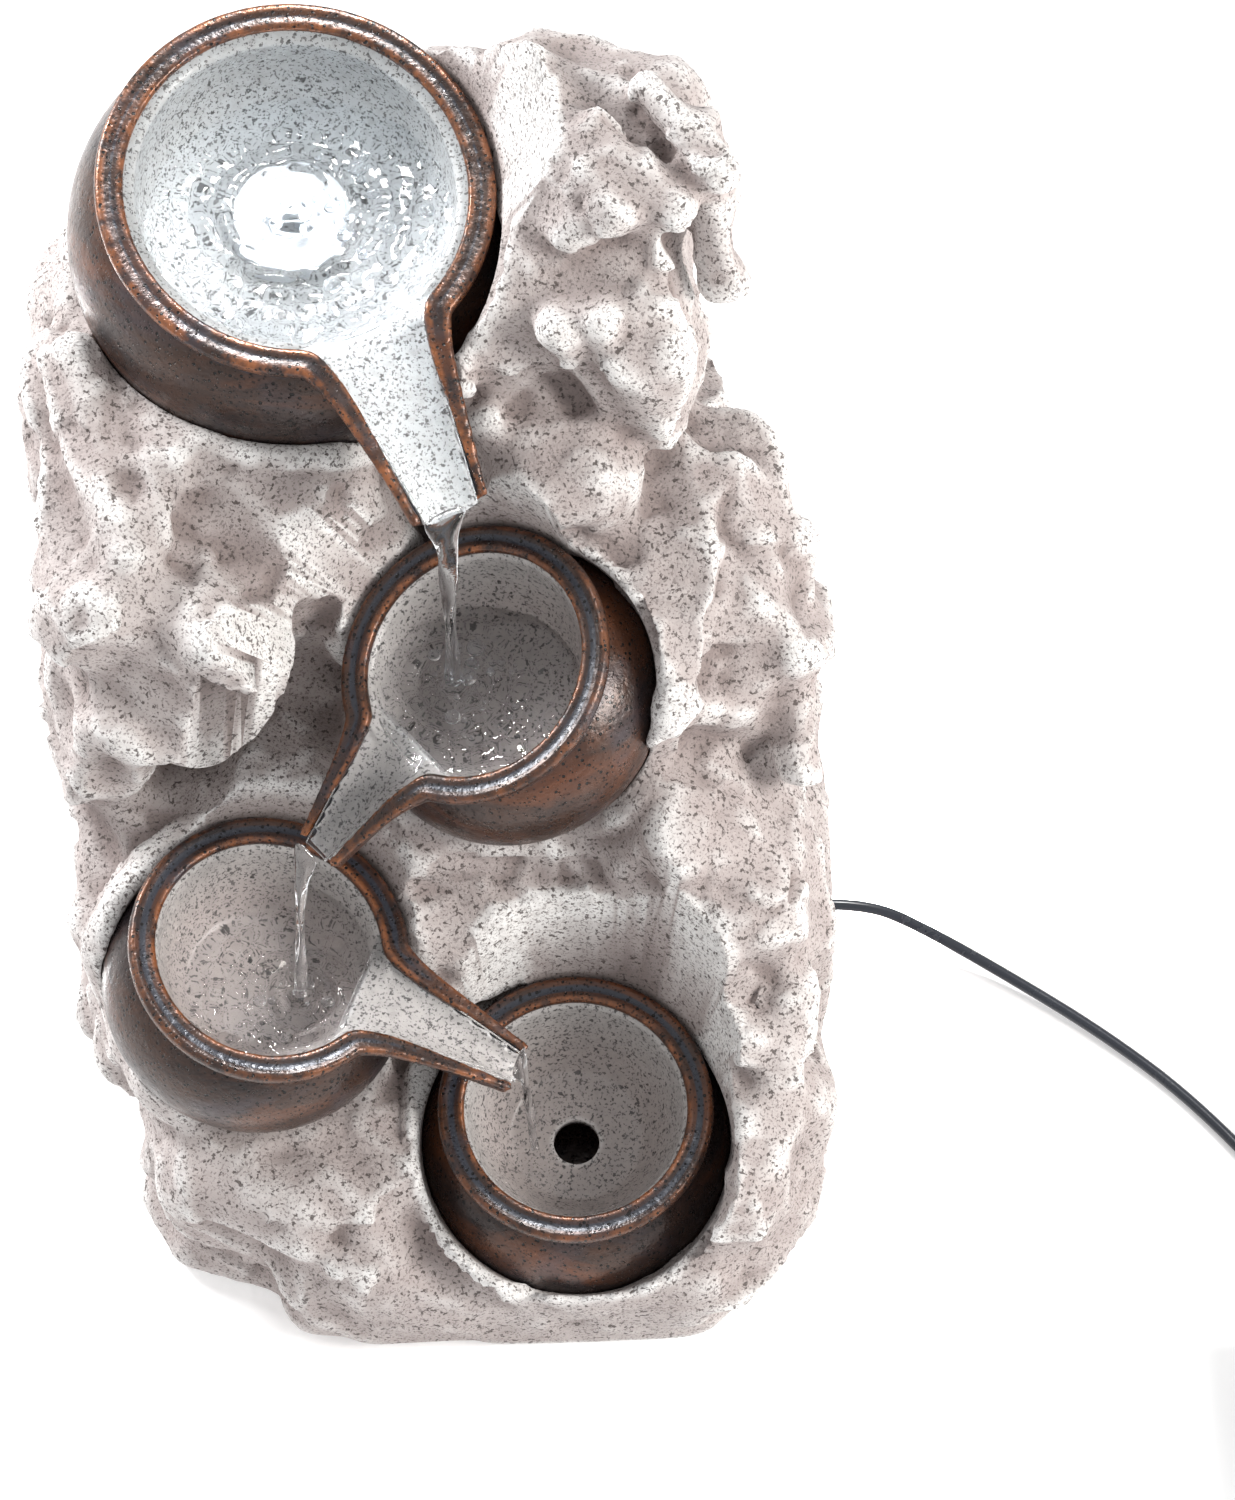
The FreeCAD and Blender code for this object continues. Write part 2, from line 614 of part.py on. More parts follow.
# ---------------------------------------------------------------- rear door
PLUG_DEEP, PLUG_WALL, GRIP_HALF = 6.0, 3.0, 14.0
door = door_block(size.door_lip, DOOR_INNER, ROCK_BACK)
door = door.fuse(door_block(-size.door_play, DOOR_INNER - PLUG_DEEP, DOOR_INNER))
door = door.cut(door_block(-size.door_play - PLUG_WALL, DOOR_INNER - PLUG_DEEP, DOOR_INNER))
grip = block_between((-GRIP_HALF, ROCK_BACK - size.door_thick / 2, DOOR_HIGH - size.grip_depth),
                     (GRIP_HALF, ROCK_BACK, DOOR_HIGH))
keep("rear_door", feature("door", door.cut(grip)))
GASKET_PLAY = 0.3
gasket = door_block(size.door_lip - 1, GASKET_SEAT + GASKET_PLAY, DOOR_INNER)
gasket = gasket.cut(door_block(0, GASKET_SEAT, DOOR_INNER))
keep("door_gasket", feature("gasket", gasket))

# ---------------------------------------------------------------- pump
# The rotor's axis runs front to back; the intake cover faces the rear door.
BASIN_FLOOR = size.foot_height + size.plate_thick + size.basin_wall
PUMP_LOW = BASIN_FLOOR + size.cup_height
PUMP_TOP = PUMP_LOW + size.pump_height
PUMP_FACE = size.pump_y + size.pump_length / 2
PUMP_REAR = PUMP_FACE - size.pump_length
VOLUTE_IN = PUMP_FACE - size.volute_deep
WELL_IN = VOLUTE_IN - size.well_deep
PUMP_HALF = size.pump_width / 2
OUTLET_Y = PUMP_FACE - size.outlet_radius - 0.5


def along_y(radius, start, end, x=size.pump_x, z=size.rotor_z):
    return Part.makeCylinder(radius, end - start, Vector(x, start, z), Vector(0, 1, 0))


def ring_y(outer, inner, start, end):
    return along_y(outer, start, end).cut(along_y(inner, start, end))


def pump_block(left, front, low, right, back, high):
    return block_between((size.pump_x + left, front, low), (size.pump_x + right, back, high))


CORE_FRONT, CORE_BACK = WELL_IN + 4, VOLUTE_IN - 3
LEG_IN, LEG_OUT = size.well_radius + size.well_wall + 0.6, size.well_radius + size.well_wall + 5
CORE_LOW, YOKE_HIGH, LEG_HIGH = PUMP_LOW + 2.5, PUMP_LOW + 7.5, size.rotor_z + 6
COIL_HALF, COIL_WALL, POTTING_GAP = 7.5, 1.7, 0.2
core = pump_block(-LEG_OUT, CORE_FRONT, CORE_LOW, LEG_OUT, CORE_BACK, YOKE_HIGH)
for side in (-1, 1):
    leg_edges = sorted((side * LEG_IN, side * LEG_OUT))
    core = core.fuse(pump_block(leg_edges[0], CORE_FRONT, CORE_LOW, leg_edges[1], CORE_BACK,
                                LEG_HIGH))
coil = pump_block(-COIL_HALF, CORE_FRONT - COIL_WALL, CORE_LOW - COIL_WALL + 0.3,
                  COIL_HALF, CORE_BACK + COIL_WALL, YOKE_HIGH + COIL_WALL)
potting = pump_block(-LEG_OUT - POTTING_GAP, CORE_FRONT - COIL_WALL - POTTING_GAP,
                     CORE_LOW - COIL_WALL, LEG_OUT + POTTING_GAP,
                     CORE_BACK + COIL_WALL + POTTING_GAP, LEG_HIGH + POTTING_GAP)
coil = coil.cut(pump_block(-COIL_HALF, CORE_FRONT, CORE_LOW, COIL_HALF, CORE_BACK, YOKE_HIGH))
keep("stator_core", feature("core", core.removeSplitter()))
keep("stator_coil", feature("coil", coil))

LEAD_X, LEAD_Z = size.pump_x + 8, size.rotor_z + 4
housing = pump_block(-PUMP_HALF, PUMP_REAR, PUMP_LOW, PUMP_HALF, PUMP_FACE, PUMP_TOP)
housing = housing.makeFillet(3, [edge for edge in housing.Edges if edge.BoundBox.YLength > 30])
housing = housing.cut(potting)
housing = housing.fuse(along_y(size.well_radius + size.well_wall, WELL_IN - 3, VOLUTE_IN))
outlet = Part.makeCylinder(size.outlet_radius, size.outlet_height + 2,
                           Vector(size.pump_x, OUTLET_Y, PUMP_TOP - 2))
housing = housing.fuse(outlet)
housing = housing.cut(along_y(size.well_radius, WELL_IN, PUMP_FACE))
housing = housing.cut(along_y(size.volute_radius, VOLUTE_IN, PUMP_FACE))
housing = housing.cut(along_y(size.bush_radius, WELL_IN - size.bush_length, WELL_IN))
housing = housing.cut(Part.makeCylinder(size.outlet_bore, size.pump_height,
                                        Vector(size.pump_x, OUTLET_Y, size.rotor_z)))
housing = housing.cut(along_y(size.lead_radius + 0.1, PUMP_REAR, PUMP_REAR + 4, LEAD_X, LEAD_Z))
keep("pump_housing", feature("housing", housing))

cover = pump_block(-PUMP_HALF + 1, PUMP_FACE, PUMP_LOW + 1, PUMP_HALF - 1,
                   PUMP_FACE + size.cover_thick, PUMP_TOP - 1)
COVER_BACK = PUMP_FACE + size.cover_thick
cover = cover.makeFillet(3, [edge for edge in cover.Edges
                             if abs(edge.BoundBox.YLength - size.cover_thick) < 0.01])
SLOT_COUNT, SLOT_HALF, SLOT_PITCH = 4, 1.1, 4.4
for step in range(SLOT_COUNT):
    z = size.rotor_z + (step - (SLOT_COUNT - 1) / 2) * SLOT_PITCH
    for side in (-1, 1):
        ends = sorted((side * (size.knob_radius + 1.2), side * (PUMP_HALF - 4)))
        cover = cover.cut(pump_block(ends[0], PUMP_FACE, z - SLOT_HALF, ends[1], COVER_BACK,
                                     z + SLOT_HALF))
POST = size.knob_bore - size.shaft_play
cover = cover.fuse(along_y(POST, COVER_BACK, COVER_BACK + size.knob_thick + 0.6))
cover = cover.cut(along_y(size.bush_radius, PUMP_FACE, PUMP_FACE + size.bush_length))
INTAKE_AT, INTAKE_RADIUS = 5.2, 1.7
for angle in (90, 210, 330):
    hole_x = size.pump_x + INTAKE_AT * math.cos(math.radians(angle))
    hole_z = size.rotor_z + INTAKE_AT * math.sin(math.radians(angle))
    cover = cover.cut(along_y(INTAKE_RADIUS, PUMP_FACE, COVER_BACK, hole_x, hole_z))
keep("pump_cover", feature("cover", cover))

SHAFT_START = WELL_IN - size.bush_length
SHAFT_END = PUMP_FACE + size.bush_length
keep("rotor_shaft", feature("shaft", along_y(size.shaft_radius, SHAFT_START, SHAFT_END)))
bushes = [ring_y(size.bush_radius, size.shaft_radius, SHAFT_START, WELL_IN),
          ring_y(size.bush_radius, size.shaft_radius, PUMP_FACE, SHAFT_END)]
keep("shaft_bushes", feature("bush_pair", Part.makeCompound(bushes)))

RUNNING_BORE = size.shaft_radius + size.shaft_play
MAGNET_START = WELL_IN + 1
MAGNET_END = MAGNET_START + size.magnet_length
keep("rotor_magnet", feature("magnet", ring_y(size.magnet_radius, size.shaft_radius + 1.2,
                                              MAGNET_START, MAGNET_END)))
HUB = size.shaft_radius + 1.2
DISC_START = VOLUTE_IN + 0.6
impeller = along_y(HUB, MAGNET_START, DISC_START + size.impeller_thick)
impeller = impeller.fuse(along_y(size.magnet_radius, MAGNET_END, DISC_START + 1.2))
impeller = impeller.fuse(along_y(size.impeller_radius, DISC_START, DISC_START + 1.2))
for blade in range(int(size.blade_count)):
    vane = pump_block(HUB - 0.5, DISC_START, size.rotor_z - 0.5, size.impeller_radius - 0.5,
                      DISC_START + size.impeller_thick, size.rotor_z + 0.5)
    vane.rotate(Vector(size.pump_x, 0, size.rotor_z), Vector(0, 1, 0),
                360 / size.blade_count * blade)
    impeller = impeller.fuse(vane)
keep("impeller", feature("wheel", impeller.cut(along_y(RUNNING_BORE, MAGNET_START - 1,
                                                       PUMP_FACE))))

KNOB_START = COVER_BACK + 0.3
knob = ring_y(size.knob_radius, size.knob_bore, KNOB_START, KNOB_START + size.knob_thick - 0.4)
knob = knob.fuse(block_between(
    (size.pump_x - 1.2, KNOB_START, size.rotor_z + size.knob_radius - 1),
    (size.pump_x + 1.2, KNOB_START + size.knob_thick + 2, size.rotor_z + size.knob_radius + 4)))
keep("flow_knob", feature("knob", knob))

cups = []
for side_x in (-1, 1):
    for side_y in (-1, 1):
        at = Vector(size.pump_x + side_x * (PUMP_HALF - size.cup_radius - 1),
                    size.pump_y + side_y * (size.pump_length / 2 - size.cup_radius - 1),
                    BASIN_FLOOR)
        cups.append(Part.makeCone(size.cup_radius, size.cup_radius * 0.45, size.cup_height, at))
keep("suction_cups", feature("cups", Part.makeCompound(cups)))

# ---------------------------------------------------------------- hose, nozzle and light
top = TOP_POT
FLOOR = -top.deep
LIGHT_TOP = FLOOR + size.light_height
NOZZLE_LOW = -top.bottom - size.nozzle_below
nozzle = Part.makeCylinder(size.outlet_radius, LIGHT_TOP + size.nozzle_above - NOZZLE_LOW,
                           Vector(0, 0, NOZZLE_LOW))
nozzle = nozzle.cut(Part.makeCylinder(size.nozzle_bore, size.rock_top,
                                      Vector(0, 0, NOZZLE_LOW - 1)))
keep("water_nozzle", feature("nozzle", moved(nozzle, top.placement)))
seal = on_axis(size.outlet_radius + size.light_seal, -top.bottom, -top.bottom + size.pot_wall,
               top.placement)
seal = seal.cut(on_axis(size.outlet_radius, -top.bottom - 1, 0, top.placement))
keep("nozzle_seal", feature("pot_seal", seal))

HOSE_BORE = size.outlet_radius + size.hose_play
HOSE_START = Vector(size.pump_x, OUTLET_Y, PUMP_TOP + 2)
HOSE_END = top.at(0, 0, -top.bottom - 0.6)
HOSE_POINTS = [HOSE_START, HOSE_START + Vector(0, 0, 45), top.at(0, 0, NOZZLE_LOW - 24), HOSE_END]
keep("delivery_hose", tube("hose", HOSE_POINTS, HOSE_BORE + size.hose_wall, HOSE_BORE))


def disc(outer, inner, low, high):
    return Part.makeCylinder(outer, high - low, Vector(0, 0, low)).cut(
        Part.makeCylinder(inner, high - low, Vector(0, 0, low)))


BOARD_LOW = FLOOR + size.light_wall
BOARD_TOP = BOARD_LOW + size.board_thick
LENS_LOW = LIGHT_TOP - size.lens_thick
LENS_LEDGE = size.light_radius - size.light_wall - 0.5
LENS_EDGE = size.light_radius - size.light_wall
light = disc(size.light_radius, size.outlet_radius + 0.05, FLOOR, LIGHT_TOP)
light = light.cut(disc(LENS_LEDGE, size.light_boss, BOARD_LOW, LENS_LOW))
light = light.cut(disc(LENS_EDGE, size.light_boss, LENS_LOW, LIGHT_TOP))
LEAD_HOLE = size.lead_radius + 0.3
light = light.cut(Part.makeCylinder(LEAD_HOLE, size.light_wall, Vector(size.chip_circle, 0, FLOOR)))
keep("light_housing", feature("light", moved(light, top.placement)))
lens = disc(LENS_EDGE - 0.1, size.light_boss + 0.1, LENS_LOW, LIGHT_TOP)
keep("light_lens", feature("lens", moved(lens, top.placement)))
board = disc(LENS_LEDGE - 0.2, size.light_boss + 0.2, BOARD_LOW, BOARD_TOP)
keep("light_board", feature("board", moved(board, top.placement)))
chips = []
for quarter in range(4):
    chip = Part.makeBox(size.chip_size, size.chip_size, size.chip_height,
                        Vector(size.chip_circle - size.chip_size / 2, -size.chip_size / 2,
                               BOARD_TOP))
    chip.rotate(Vector(), Vector(0, 0, 1), 45 + 90 * quarter)
    chips.append(moved(chip, top.placement))
keep("light_chips", feature("chips", Part.makeCompound(chips)))

# ---------------------------------------------------------------- leads inside
SPLICE_LOW = 30.0
SPLICE_FRONT = 24.0
splice_x, splice_top = size.basin_right + size.splice_width / 2, SPLICE_LOW + size.splice_height
splice_middle = SPLICE_LOW + size.splice_height / 2
keep("lead_splice", box("splice", "splice_width", "splice_length", "splice_height",
                        "basin_right", f"{SPLICE_FRONT}", f"{SPLICE_LOW}"))
PUMP_LEAD_Y, LIGHT_LEAD_Y = SPLICE_FRONT + 9, SPLICE_FRONT + 21
keep("pump_lead", tube("pump_lead", [
    Vector(LEAD_X, PUMP_REAR + 4, LEAD_Z), Vector(LEAD_X, PUMP_REAR - 12, LEAD_Z),
    Vector(26, PUMP_REAR - 20, 60), Vector(46, PUMP_LEAD_Y - 5, 69),
    Vector(splice_x, PUMP_LEAD_Y, 62), Vector(splice_x, PUMP_LEAD_Y, splice_top)],
    size.lead_radius))
keep("light_lead", tube("light_lead", [
    top.at(size.chip_circle, 0, BOARD_LOW), top.at(size.chip_circle, 0, NOZZLE_LOW - 10),
    laid(-8, 56, 120), laid(30, 52, 96), Vector(splice_x, LIGHT_LEAD_Y, 82),
    Vector(splice_x, LIGHT_LEAD_Y, splice_top)], size.lead_radius))

# ---------------------------------------------------------------- power cord
exit_y, exit_z = size.cord_exit_y, size.cord_exit_z
GLAND_INNER = size.cavity_right - 1
FLANGE_END = size.gland_seat_x + size.gland_flange_thick
RELIEF_END = FLANGE_END + size.relief_length


def along_x(radius, start, end):
    return Part.makeCylinder(radius, end - start, Vector(start, exit_y, exit_z), Vector(1, 0, 0))


gland = along_x(size.gland_radius, GLAND_INNER, size.gland_seat_x)
gland = gland.fuse(along_x(size.gland_flange, size.gland_seat_x, FLANGE_END))
gland = gland.fuse(Part.makeCone(size.gland_radius - 0.8, size.relief_tip, size.relief_length,
                                 Vector(FLANGE_END, exit_y, exit_z), Vector(1, 0, 0)))
keep("cord_gland", feature("gland", gland))
keep("inner_cord", tube("inner_cord", [
    Vector(GLAND_INNER, exit_y, exit_z), Vector(GLAND_INNER - 13, exit_y, exit_z),
    Vector(splice_x + 1, exit_y + 4, splice_middle - 8),
    Vector(splice_x, SPLICE_FRONT - 12, splice_middle),
    Vector(splice_x, SPLICE_FRONT, splice_middle)], size.cord_radius))

# The cord runs straight out of the gland, comes down to the table and lies there, into the
# coil of its spare length. A short tail leads from the coil to the wall adapter.
CORD_LIE = 1.6  # the cord's middle above the table
CORD_POINTS = [(0, 0, 12), (11, 0, 12), (24, -4.5, 9.5), (47, -16.5, 4.5),
               (73, -33.5, 2.6), (97, -53.5, CORD_LIE), (117.2, -74, CORD_LIE)]
keep("power_cord", tube("power_cord", [Vector(RELIEF_END + x, exit_y + y, z)
                                       for x, y, z in CORD_POINTS], size.cord_radius))
coil_ring = doc.addObject("Part::Torus", "coil_ring")
bound(coil_ring, Radius1="coil_radius", Radius2="bundle_radius")
keep("cord_coil", placed(coil_ring, "coil_x", "coil_y", "bundle_radius"))

ADAPTER_BACK = size.adapter_y + size.adapter_length / 2
TAIL_POINTS = [(-10.5, -2.5, CORD_LIE), (-4.5, -7.5, CORD_LIE), (-1, -14, 3.2),
               (0, -20.5, size.adapter_cord_z)]
tail_end = Vector(size.adapter_x, ADAPTER_BACK + size.adapter_relief, size.adapter_cord_z)
keep("cord_tail", tube("cord_tail", [
    Vector(size.adapter_x + x, size.coil_y - size.coil_radius + y, z)
    for x, y, z in TAIL_POINTS] + [tail_end], size.cord_radius))

adapter = box("adapter_block", "adapter_width", "adapter_length", "adapter_height",
              "adapter_x - adapter_width / 2", "adapter_y - adapter_length / 2", "0")
adapter_round = doc.addObject("Part::Fillet", "adapter_round")
adapter_round.Base = adapter
doc.recompute()
adapter_round.Edges = [(index, 3.0, 3.0) for index, edge in
                       enumerate(adapter.Shape.Edges, start=1) if edge.BoundBox.YLength > 1]
keep("adapter_case", adapter_round)
keep("adapter_relief", cone("relief_cone", "relief_tip + 1.6", "relief_tip", "adapter_relief",
                            "adapter_x", "adapter_y + adapter_length / 2", "adapter_cord_z",
                            BACK))
FACE_INSET = 1.5
face_block = box("face_block", f"adapter_width - 2 * {FACE_INSET}", "adapter_face",
                 f"adapter_height - 2 * {FACE_INSET}", f"adapter_x - adapter_width / 2 + {FACE_INSET}",
                 "adapter_y - adapter_length / 2 - adapter_face", f"{FACE_INSET}")
keep("adapter_face", face_block)
pins = [cylinder(f"pin_{side}", "pin_radius", "pin_length",
                 f"adapter_x + {side} * pin_spacing / 2",
                 "adapter_y - adapter_length / 2 - adapter_face", "adapter_height / 2", FRONT)
        for side in (-1, 1)]
keep("adapter_pins", group("pins", *pins))

CORD_NODES = ("power_cord", "cord_coil", "cord_tail", "adapter_case", "adapter_relief",
              "adapter_face", "adapter_pins")

# ---------------------------------------------------------------- checks and export
doc.recompute()
for obj in doc.Objects:
    if {"Invalid", "Error"} & set(obj.State):
        raise RuntimeError(f"{obj.Name} failed: {obj.State}")
for node, obj in subparts.items():
    if obj.Shape.isNull() or not obj.Shape.isValid():
        raise RuntimeError(f"{node} has no valid shape")

os.makedirs("parts", exist_ok=True)
for node, obj in subparts.items():
    obj.Shape.exportStep(f"parts/{node}.step")

whole = FreeCAD.BoundBox()
for node, obj in subparts.items():
    if node not in CORD_NODES:
        whole.add(obj.Shape.BoundBox)
    print(f"{node:24s} {len(obj.Shape.Solids)} solids, {obj.Shape.Volume / 1000:8.2f} cm3")
print("without the cord:", [round(v, 2) for v in (whole.XMin, whole.XMax, whole.YMin,
                                                  whole.YMax, whole.ZMin, whole.ZMax)])
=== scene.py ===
# %% [markdown]
# # A tabletop fountain: rock, pots, water
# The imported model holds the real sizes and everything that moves. Here each piece gets its
# looks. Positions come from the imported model's own boxes, so nothing has to be fitted later.

import json
import math

import bmesh
import bpy
import numpy as np
from mathutils import Matrix, Vector, noise


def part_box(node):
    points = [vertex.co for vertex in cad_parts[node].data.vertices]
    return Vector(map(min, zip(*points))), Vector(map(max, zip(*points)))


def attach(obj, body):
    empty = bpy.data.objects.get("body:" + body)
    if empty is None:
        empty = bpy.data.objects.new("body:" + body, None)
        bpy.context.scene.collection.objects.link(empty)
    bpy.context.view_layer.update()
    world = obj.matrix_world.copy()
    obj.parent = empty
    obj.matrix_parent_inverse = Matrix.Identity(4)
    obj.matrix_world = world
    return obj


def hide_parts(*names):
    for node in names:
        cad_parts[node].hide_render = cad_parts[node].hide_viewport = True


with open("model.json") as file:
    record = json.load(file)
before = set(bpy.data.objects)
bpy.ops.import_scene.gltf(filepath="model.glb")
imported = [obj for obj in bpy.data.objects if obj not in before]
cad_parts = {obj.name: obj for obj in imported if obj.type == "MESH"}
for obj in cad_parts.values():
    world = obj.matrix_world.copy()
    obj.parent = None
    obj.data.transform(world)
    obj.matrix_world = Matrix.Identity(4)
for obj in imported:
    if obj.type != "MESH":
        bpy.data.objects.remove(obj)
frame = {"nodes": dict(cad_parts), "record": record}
bpy.context.view_layer.update()
BODY = "fountain"
MM = 0.001

# %% [markdown]
# ## The camera
# The camera looks down at 60 degrees from the front, from about a metre away, with a long
# lens, so that the rock keeps its proportions. Naming the target and the distance, and
# working out the place from them, makes the view easy to change.

# %% Camera
LOOK_AT = Vector((0.045, -0.009, 0.110))
DISTANCE, ELEVATION = 1.0, math.radians(60)
camera_data = bpy.data.cameras.new("camera")
camera_data.lens, camera_data.sensor_width = 96, 36
camera = bpy.data.objects.new("camera", camera_data)
camera.location = LOOK_AT + DISTANCE * Vector((0, -math.cos(ELEVATION), math.sin(ELEVATION)))
camera.rotation_euler = (math.pi / 2 - ELEVATION, 0, 0)
bpy.context.scene.collection.objects.link(camera)
bpy.context.scene.camera = camera

# %% [markdown]
# ## Helpers for pieces
# An operator works on whatever is selected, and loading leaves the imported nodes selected.
# So every piece starts by clearing the selection. A finished piece keeps its object at the
# origin, with its place in its mesh, and each modifier is applied.


# %% Helpers: selection, modifiers, finishing a piece
def clear_selection():
    bpy.ops.object.select_all(action="DESELECT")


def only(obj):
    """Selects one object alone and makes it active."""
    clear_selection()
    obj.select_set(True)
    bpy.context.view_layer.objects.active = obj
    return obj


def apply_place(obj):
    """Moves the object's place, turn and size into its mesh."""
    only(obj)
    bpy.ops.object.transform_apply(location=True, rotation=True, scale=True)
    return obj


def modify(obj, kind, **settings):
    """Adds a modifier, sets it up and applies it."""
    only(obj)
    modifier = obj.modifiers.new(kind.lower(), kind)
    for name, value in settings.items():
        setattr(modifier, name, value)
    bpy.ops.object.modifier_apply(modifier=modifier.name)
    return obj


def join(name, parts):
    """Joins mesh objects into the first one."""
    clear_selection()
    for part in parts:
        part.select_set(True)
    bpy.context.view_layer.objects.active = parts[0]
    bpy.ops.object.join()
    parts[0].name = parts[0].data.name = name
    return parts[0]


def boolean(obj, other, operation, solver="EXACT"):
    """Cuts or joins with another object, which is used up."""
    modify(obj, "BOOLEAN", object=other, operation=operation, solver=solver)
    bpy.data.objects.remove(other)
    return obj


def smooth(obj, angle=None):
    only(obj)
    if angle is None:
        bpy.ops.object.shade_smooth()
    else:
        bpy.ops.object.shade_smooth_by_angle(angle=math.radians(angle))
    return obj


def coordinates(obj):
    """All of a mesh's points as an array."""
    places = np.empty(len(obj.data.vertices) * 3)
    obj.data.vertices.foreach_get("co", places)
    return places.reshape(-1, 3)


def set_coordinates(obj, places):
    obj.data.vertices.foreach_set("co", np.asarray(places, np.float32).ravel())
    obj.data.update()


def finish(obj, slot, material, body=BODY):
    """Gives a piece its material and its body; the slot it is given is not used."""
    obj.data.materials.clear()
    obj.data.materials.append(material)
    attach(obj, body)
    return obj


# %% [markdown]
# ## A small kit for materials
# Stone, glaze and moulded plastic all come from a few patterns laid over each other, in
# the piece's own coordinates. Building the node trees through short calls keeps each finish
# readable: a pattern's size is given in millimetres, so it can be compared with the real one.


# %% Material kit
class Finish:
    """A material under construction."""

    def __init__(self, name, **shader):
        self.material = bpy.data.materials.new(name)
        self.material.use_nodes = True
        self.tree = self.material.node_tree
        self.shader = self.tree.nodes["Principled BSDF"]
        self.output = self.tree.nodes["Material Output"]
        self.place = self.add("ShaderNodeTexCoord").outputs["Object"]
        self.heights = None
        for socket, value in shader.items():
            self.set(socket.replace("_", " "), value)

    def add(self, kind, **settings):
        node = self.tree.nodes.new(kind)
        for name, value in settings.items():
            setattr(node, name, value)
        return node

    def link(self, source, target):
        self.tree.links.new(source, target)

    def set(self, socket, value):
        """Sets a socket of the shader, to a plain value or from a node."""
        for name in (socket, socket.title(), socket.replace("Ior", "IOR")):
            if name in self.shader.inputs:
                target = self.shader.inputs[name]
                break
        if isinstance(value, bpy.types.NodeSocket):
            self.link(value, target)
        else:
            target.default_value = (*value, 1) if isinstance(value, tuple) and len(value) == 3 else value

    def stretched(self, x, y, z, turn=(0, 0, 0)):
        """The piece's coordinates, stretched, for grain that runs one way."""
        mapping = self.add("ShaderNodeMapping")
        self.link(self.place, mapping.inputs["Vector"])
        mapping.inputs["Scale"].default_value = (x, y, z)
        mapping.inputs["Rotation"].default_value = turn
        return mapping.outputs["Vector"]

    def cloud(self, size_mm, detail=3.0, rough=0.5, warp=0.0, place=None):
        """Soft noise whose blotches are about that size."""
        node = self.add("ShaderNodeTexNoise")
        self.link(place or self.place, node.inputs["Vector"])
        node.inputs["Scale"].default_value = 1 / (size_mm * MM)
        node.inputs["Detail"].default_value = detail
        node.inputs["Roughness"].default_value = rough
        node.inputs["Distortion"].default_value = warp
        return node.outputs["Fac"]

    def cells(self, size_mm, feature="F1", place=None):
        node = self.add("ShaderNodeTexVoronoi", feature=feature)
        self.link(place or self.place, node.inputs["Vector"])
        node.inputs["Scale"].default_value = 1 / (size_mm * MM)
        return node.outputs["Distance"]

    def steps(self, value, low, high):
        """Turns a pattern into 0 below low and 1 above high."""
        node = self.add("ShaderNodeMapRange")
        self.link(value, node.inputs["Value"])
        node.inputs["From Min"].default_value = low
        node.inputs["From Max"].default_value = high
        return node.outputs["Result"]

    def math(self, operation, a, b=0.0):
        node = self.add("ShaderNodeMath", operation=operation, use_clamp=True)
        for socket, value in zip(node.inputs, (a, b)):
            if isinstance(value, bpy.types.NodeSocket):
                self.link(value, socket)
            else:
                socket.default_value = value
        return node.outputs[0]

    def attribute(self, name):
        return self.add("ShaderNodeAttribute", attribute_name=name).outputs["Fac"]

    def mix(self, share, a, b, blend="MIX"):
        """Mixes two colours, each a plain one or a node's."""
        node = self.add("ShaderNodeMix", data_type="RGBA", blend_type=blend)
        for socket, value in zip((node.inputs[0], node.inputs[6], node.inputs[7]), (share, a, b)):
            if isinstance(value, bpy.types.NodeSocket):
                self.link(value, socket)
            else:
                socket.default_value = (*value, 1) if isinstance(value, tuple) else value
        return node.outputs[2]

    def relief(self, height, depth_mm, strength=1.0):
        """Adds bumps of that depth; each call lies on the one before."""
        node = self.add("ShaderNodeBump")
        node.inputs["Distance"].default_value = depth_mm * MM
        node.inputs["Strength"].default_value = strength
        self.link(height, node.inputs["Height"])
        if self.heights:
            self.link(self.heights, node.inputs["Normal"])
        self.heights = node.outputs["Normal"]
        self.link(self.heights, self.shader.inputs["Normal"])

    def roughness(self, value, low, high):
        """Roughness from low to high as the pattern goes from 0 to 1."""
        node = self.add("ShaderNodeMapRange")
        self.link(value, node.inputs["Value"])
        node.inputs["To Min"].default_value = low
        node.inputs["To Max"].default_value = high
        self.set("Roughness", node.outputs["Result"])

# %% [markdown]
# ## The cord
# A real cord has one length. It leaves the gland level, bends down under its own weight and
# lies on the table. Its spare length is wound into a neat coil, whose turns lie side by side
# and on each other. One smooth NURBS spline carries all of it: the route's points are its
# control points, and the coil's turns are worked out by a loop.

# %% Cord: the route, in millimetres from the place where it leaves the gland
gland_low, gland_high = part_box("cord_gland")
exit_point = Vector((gland_high.x, (gland_low.y + gland_high.y) / 2, (gland_low.z + gland_high.z) / 2))
CORD_RADIUS = 1.55
CORD_LIE = 1.6
LEAD_POINTS = [(0, 0, 12), (11, 0, 12), (24, -4.5, 9.5), (47, -16.5, 4.5),
               (73, -33.5, 2.6), (97, -53.5, CORD_LIE)]

coil_low, coil_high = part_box("cord_coil")
coil_centre = (coil_low + coil_high) / 2
COIL_TURN = 17.5       # radius at the middle of the turns
LAY_STEP = 3.3         # from one turn to the next
ROW_STEP = 2.85
ROW_LOW = 2.4
# Each turn's place in the bundle: columns out from the middle, rows up from the table.
BUNDLE = [(1.5, 0), (0.5, 0), (-0.5, 0), (-1.5, 0), (-1, 1), (0, 1), (-0.5, 2), (-1.5, 2),
          (-1, 3), (0, 3), (1, 3), (1.5, 2), (0.5, 2), (1, 1)]
COIL_ENTRY, COIL_LEAVE = math.radians(218), math.radians(225)
STEPS_A_TURN = 16


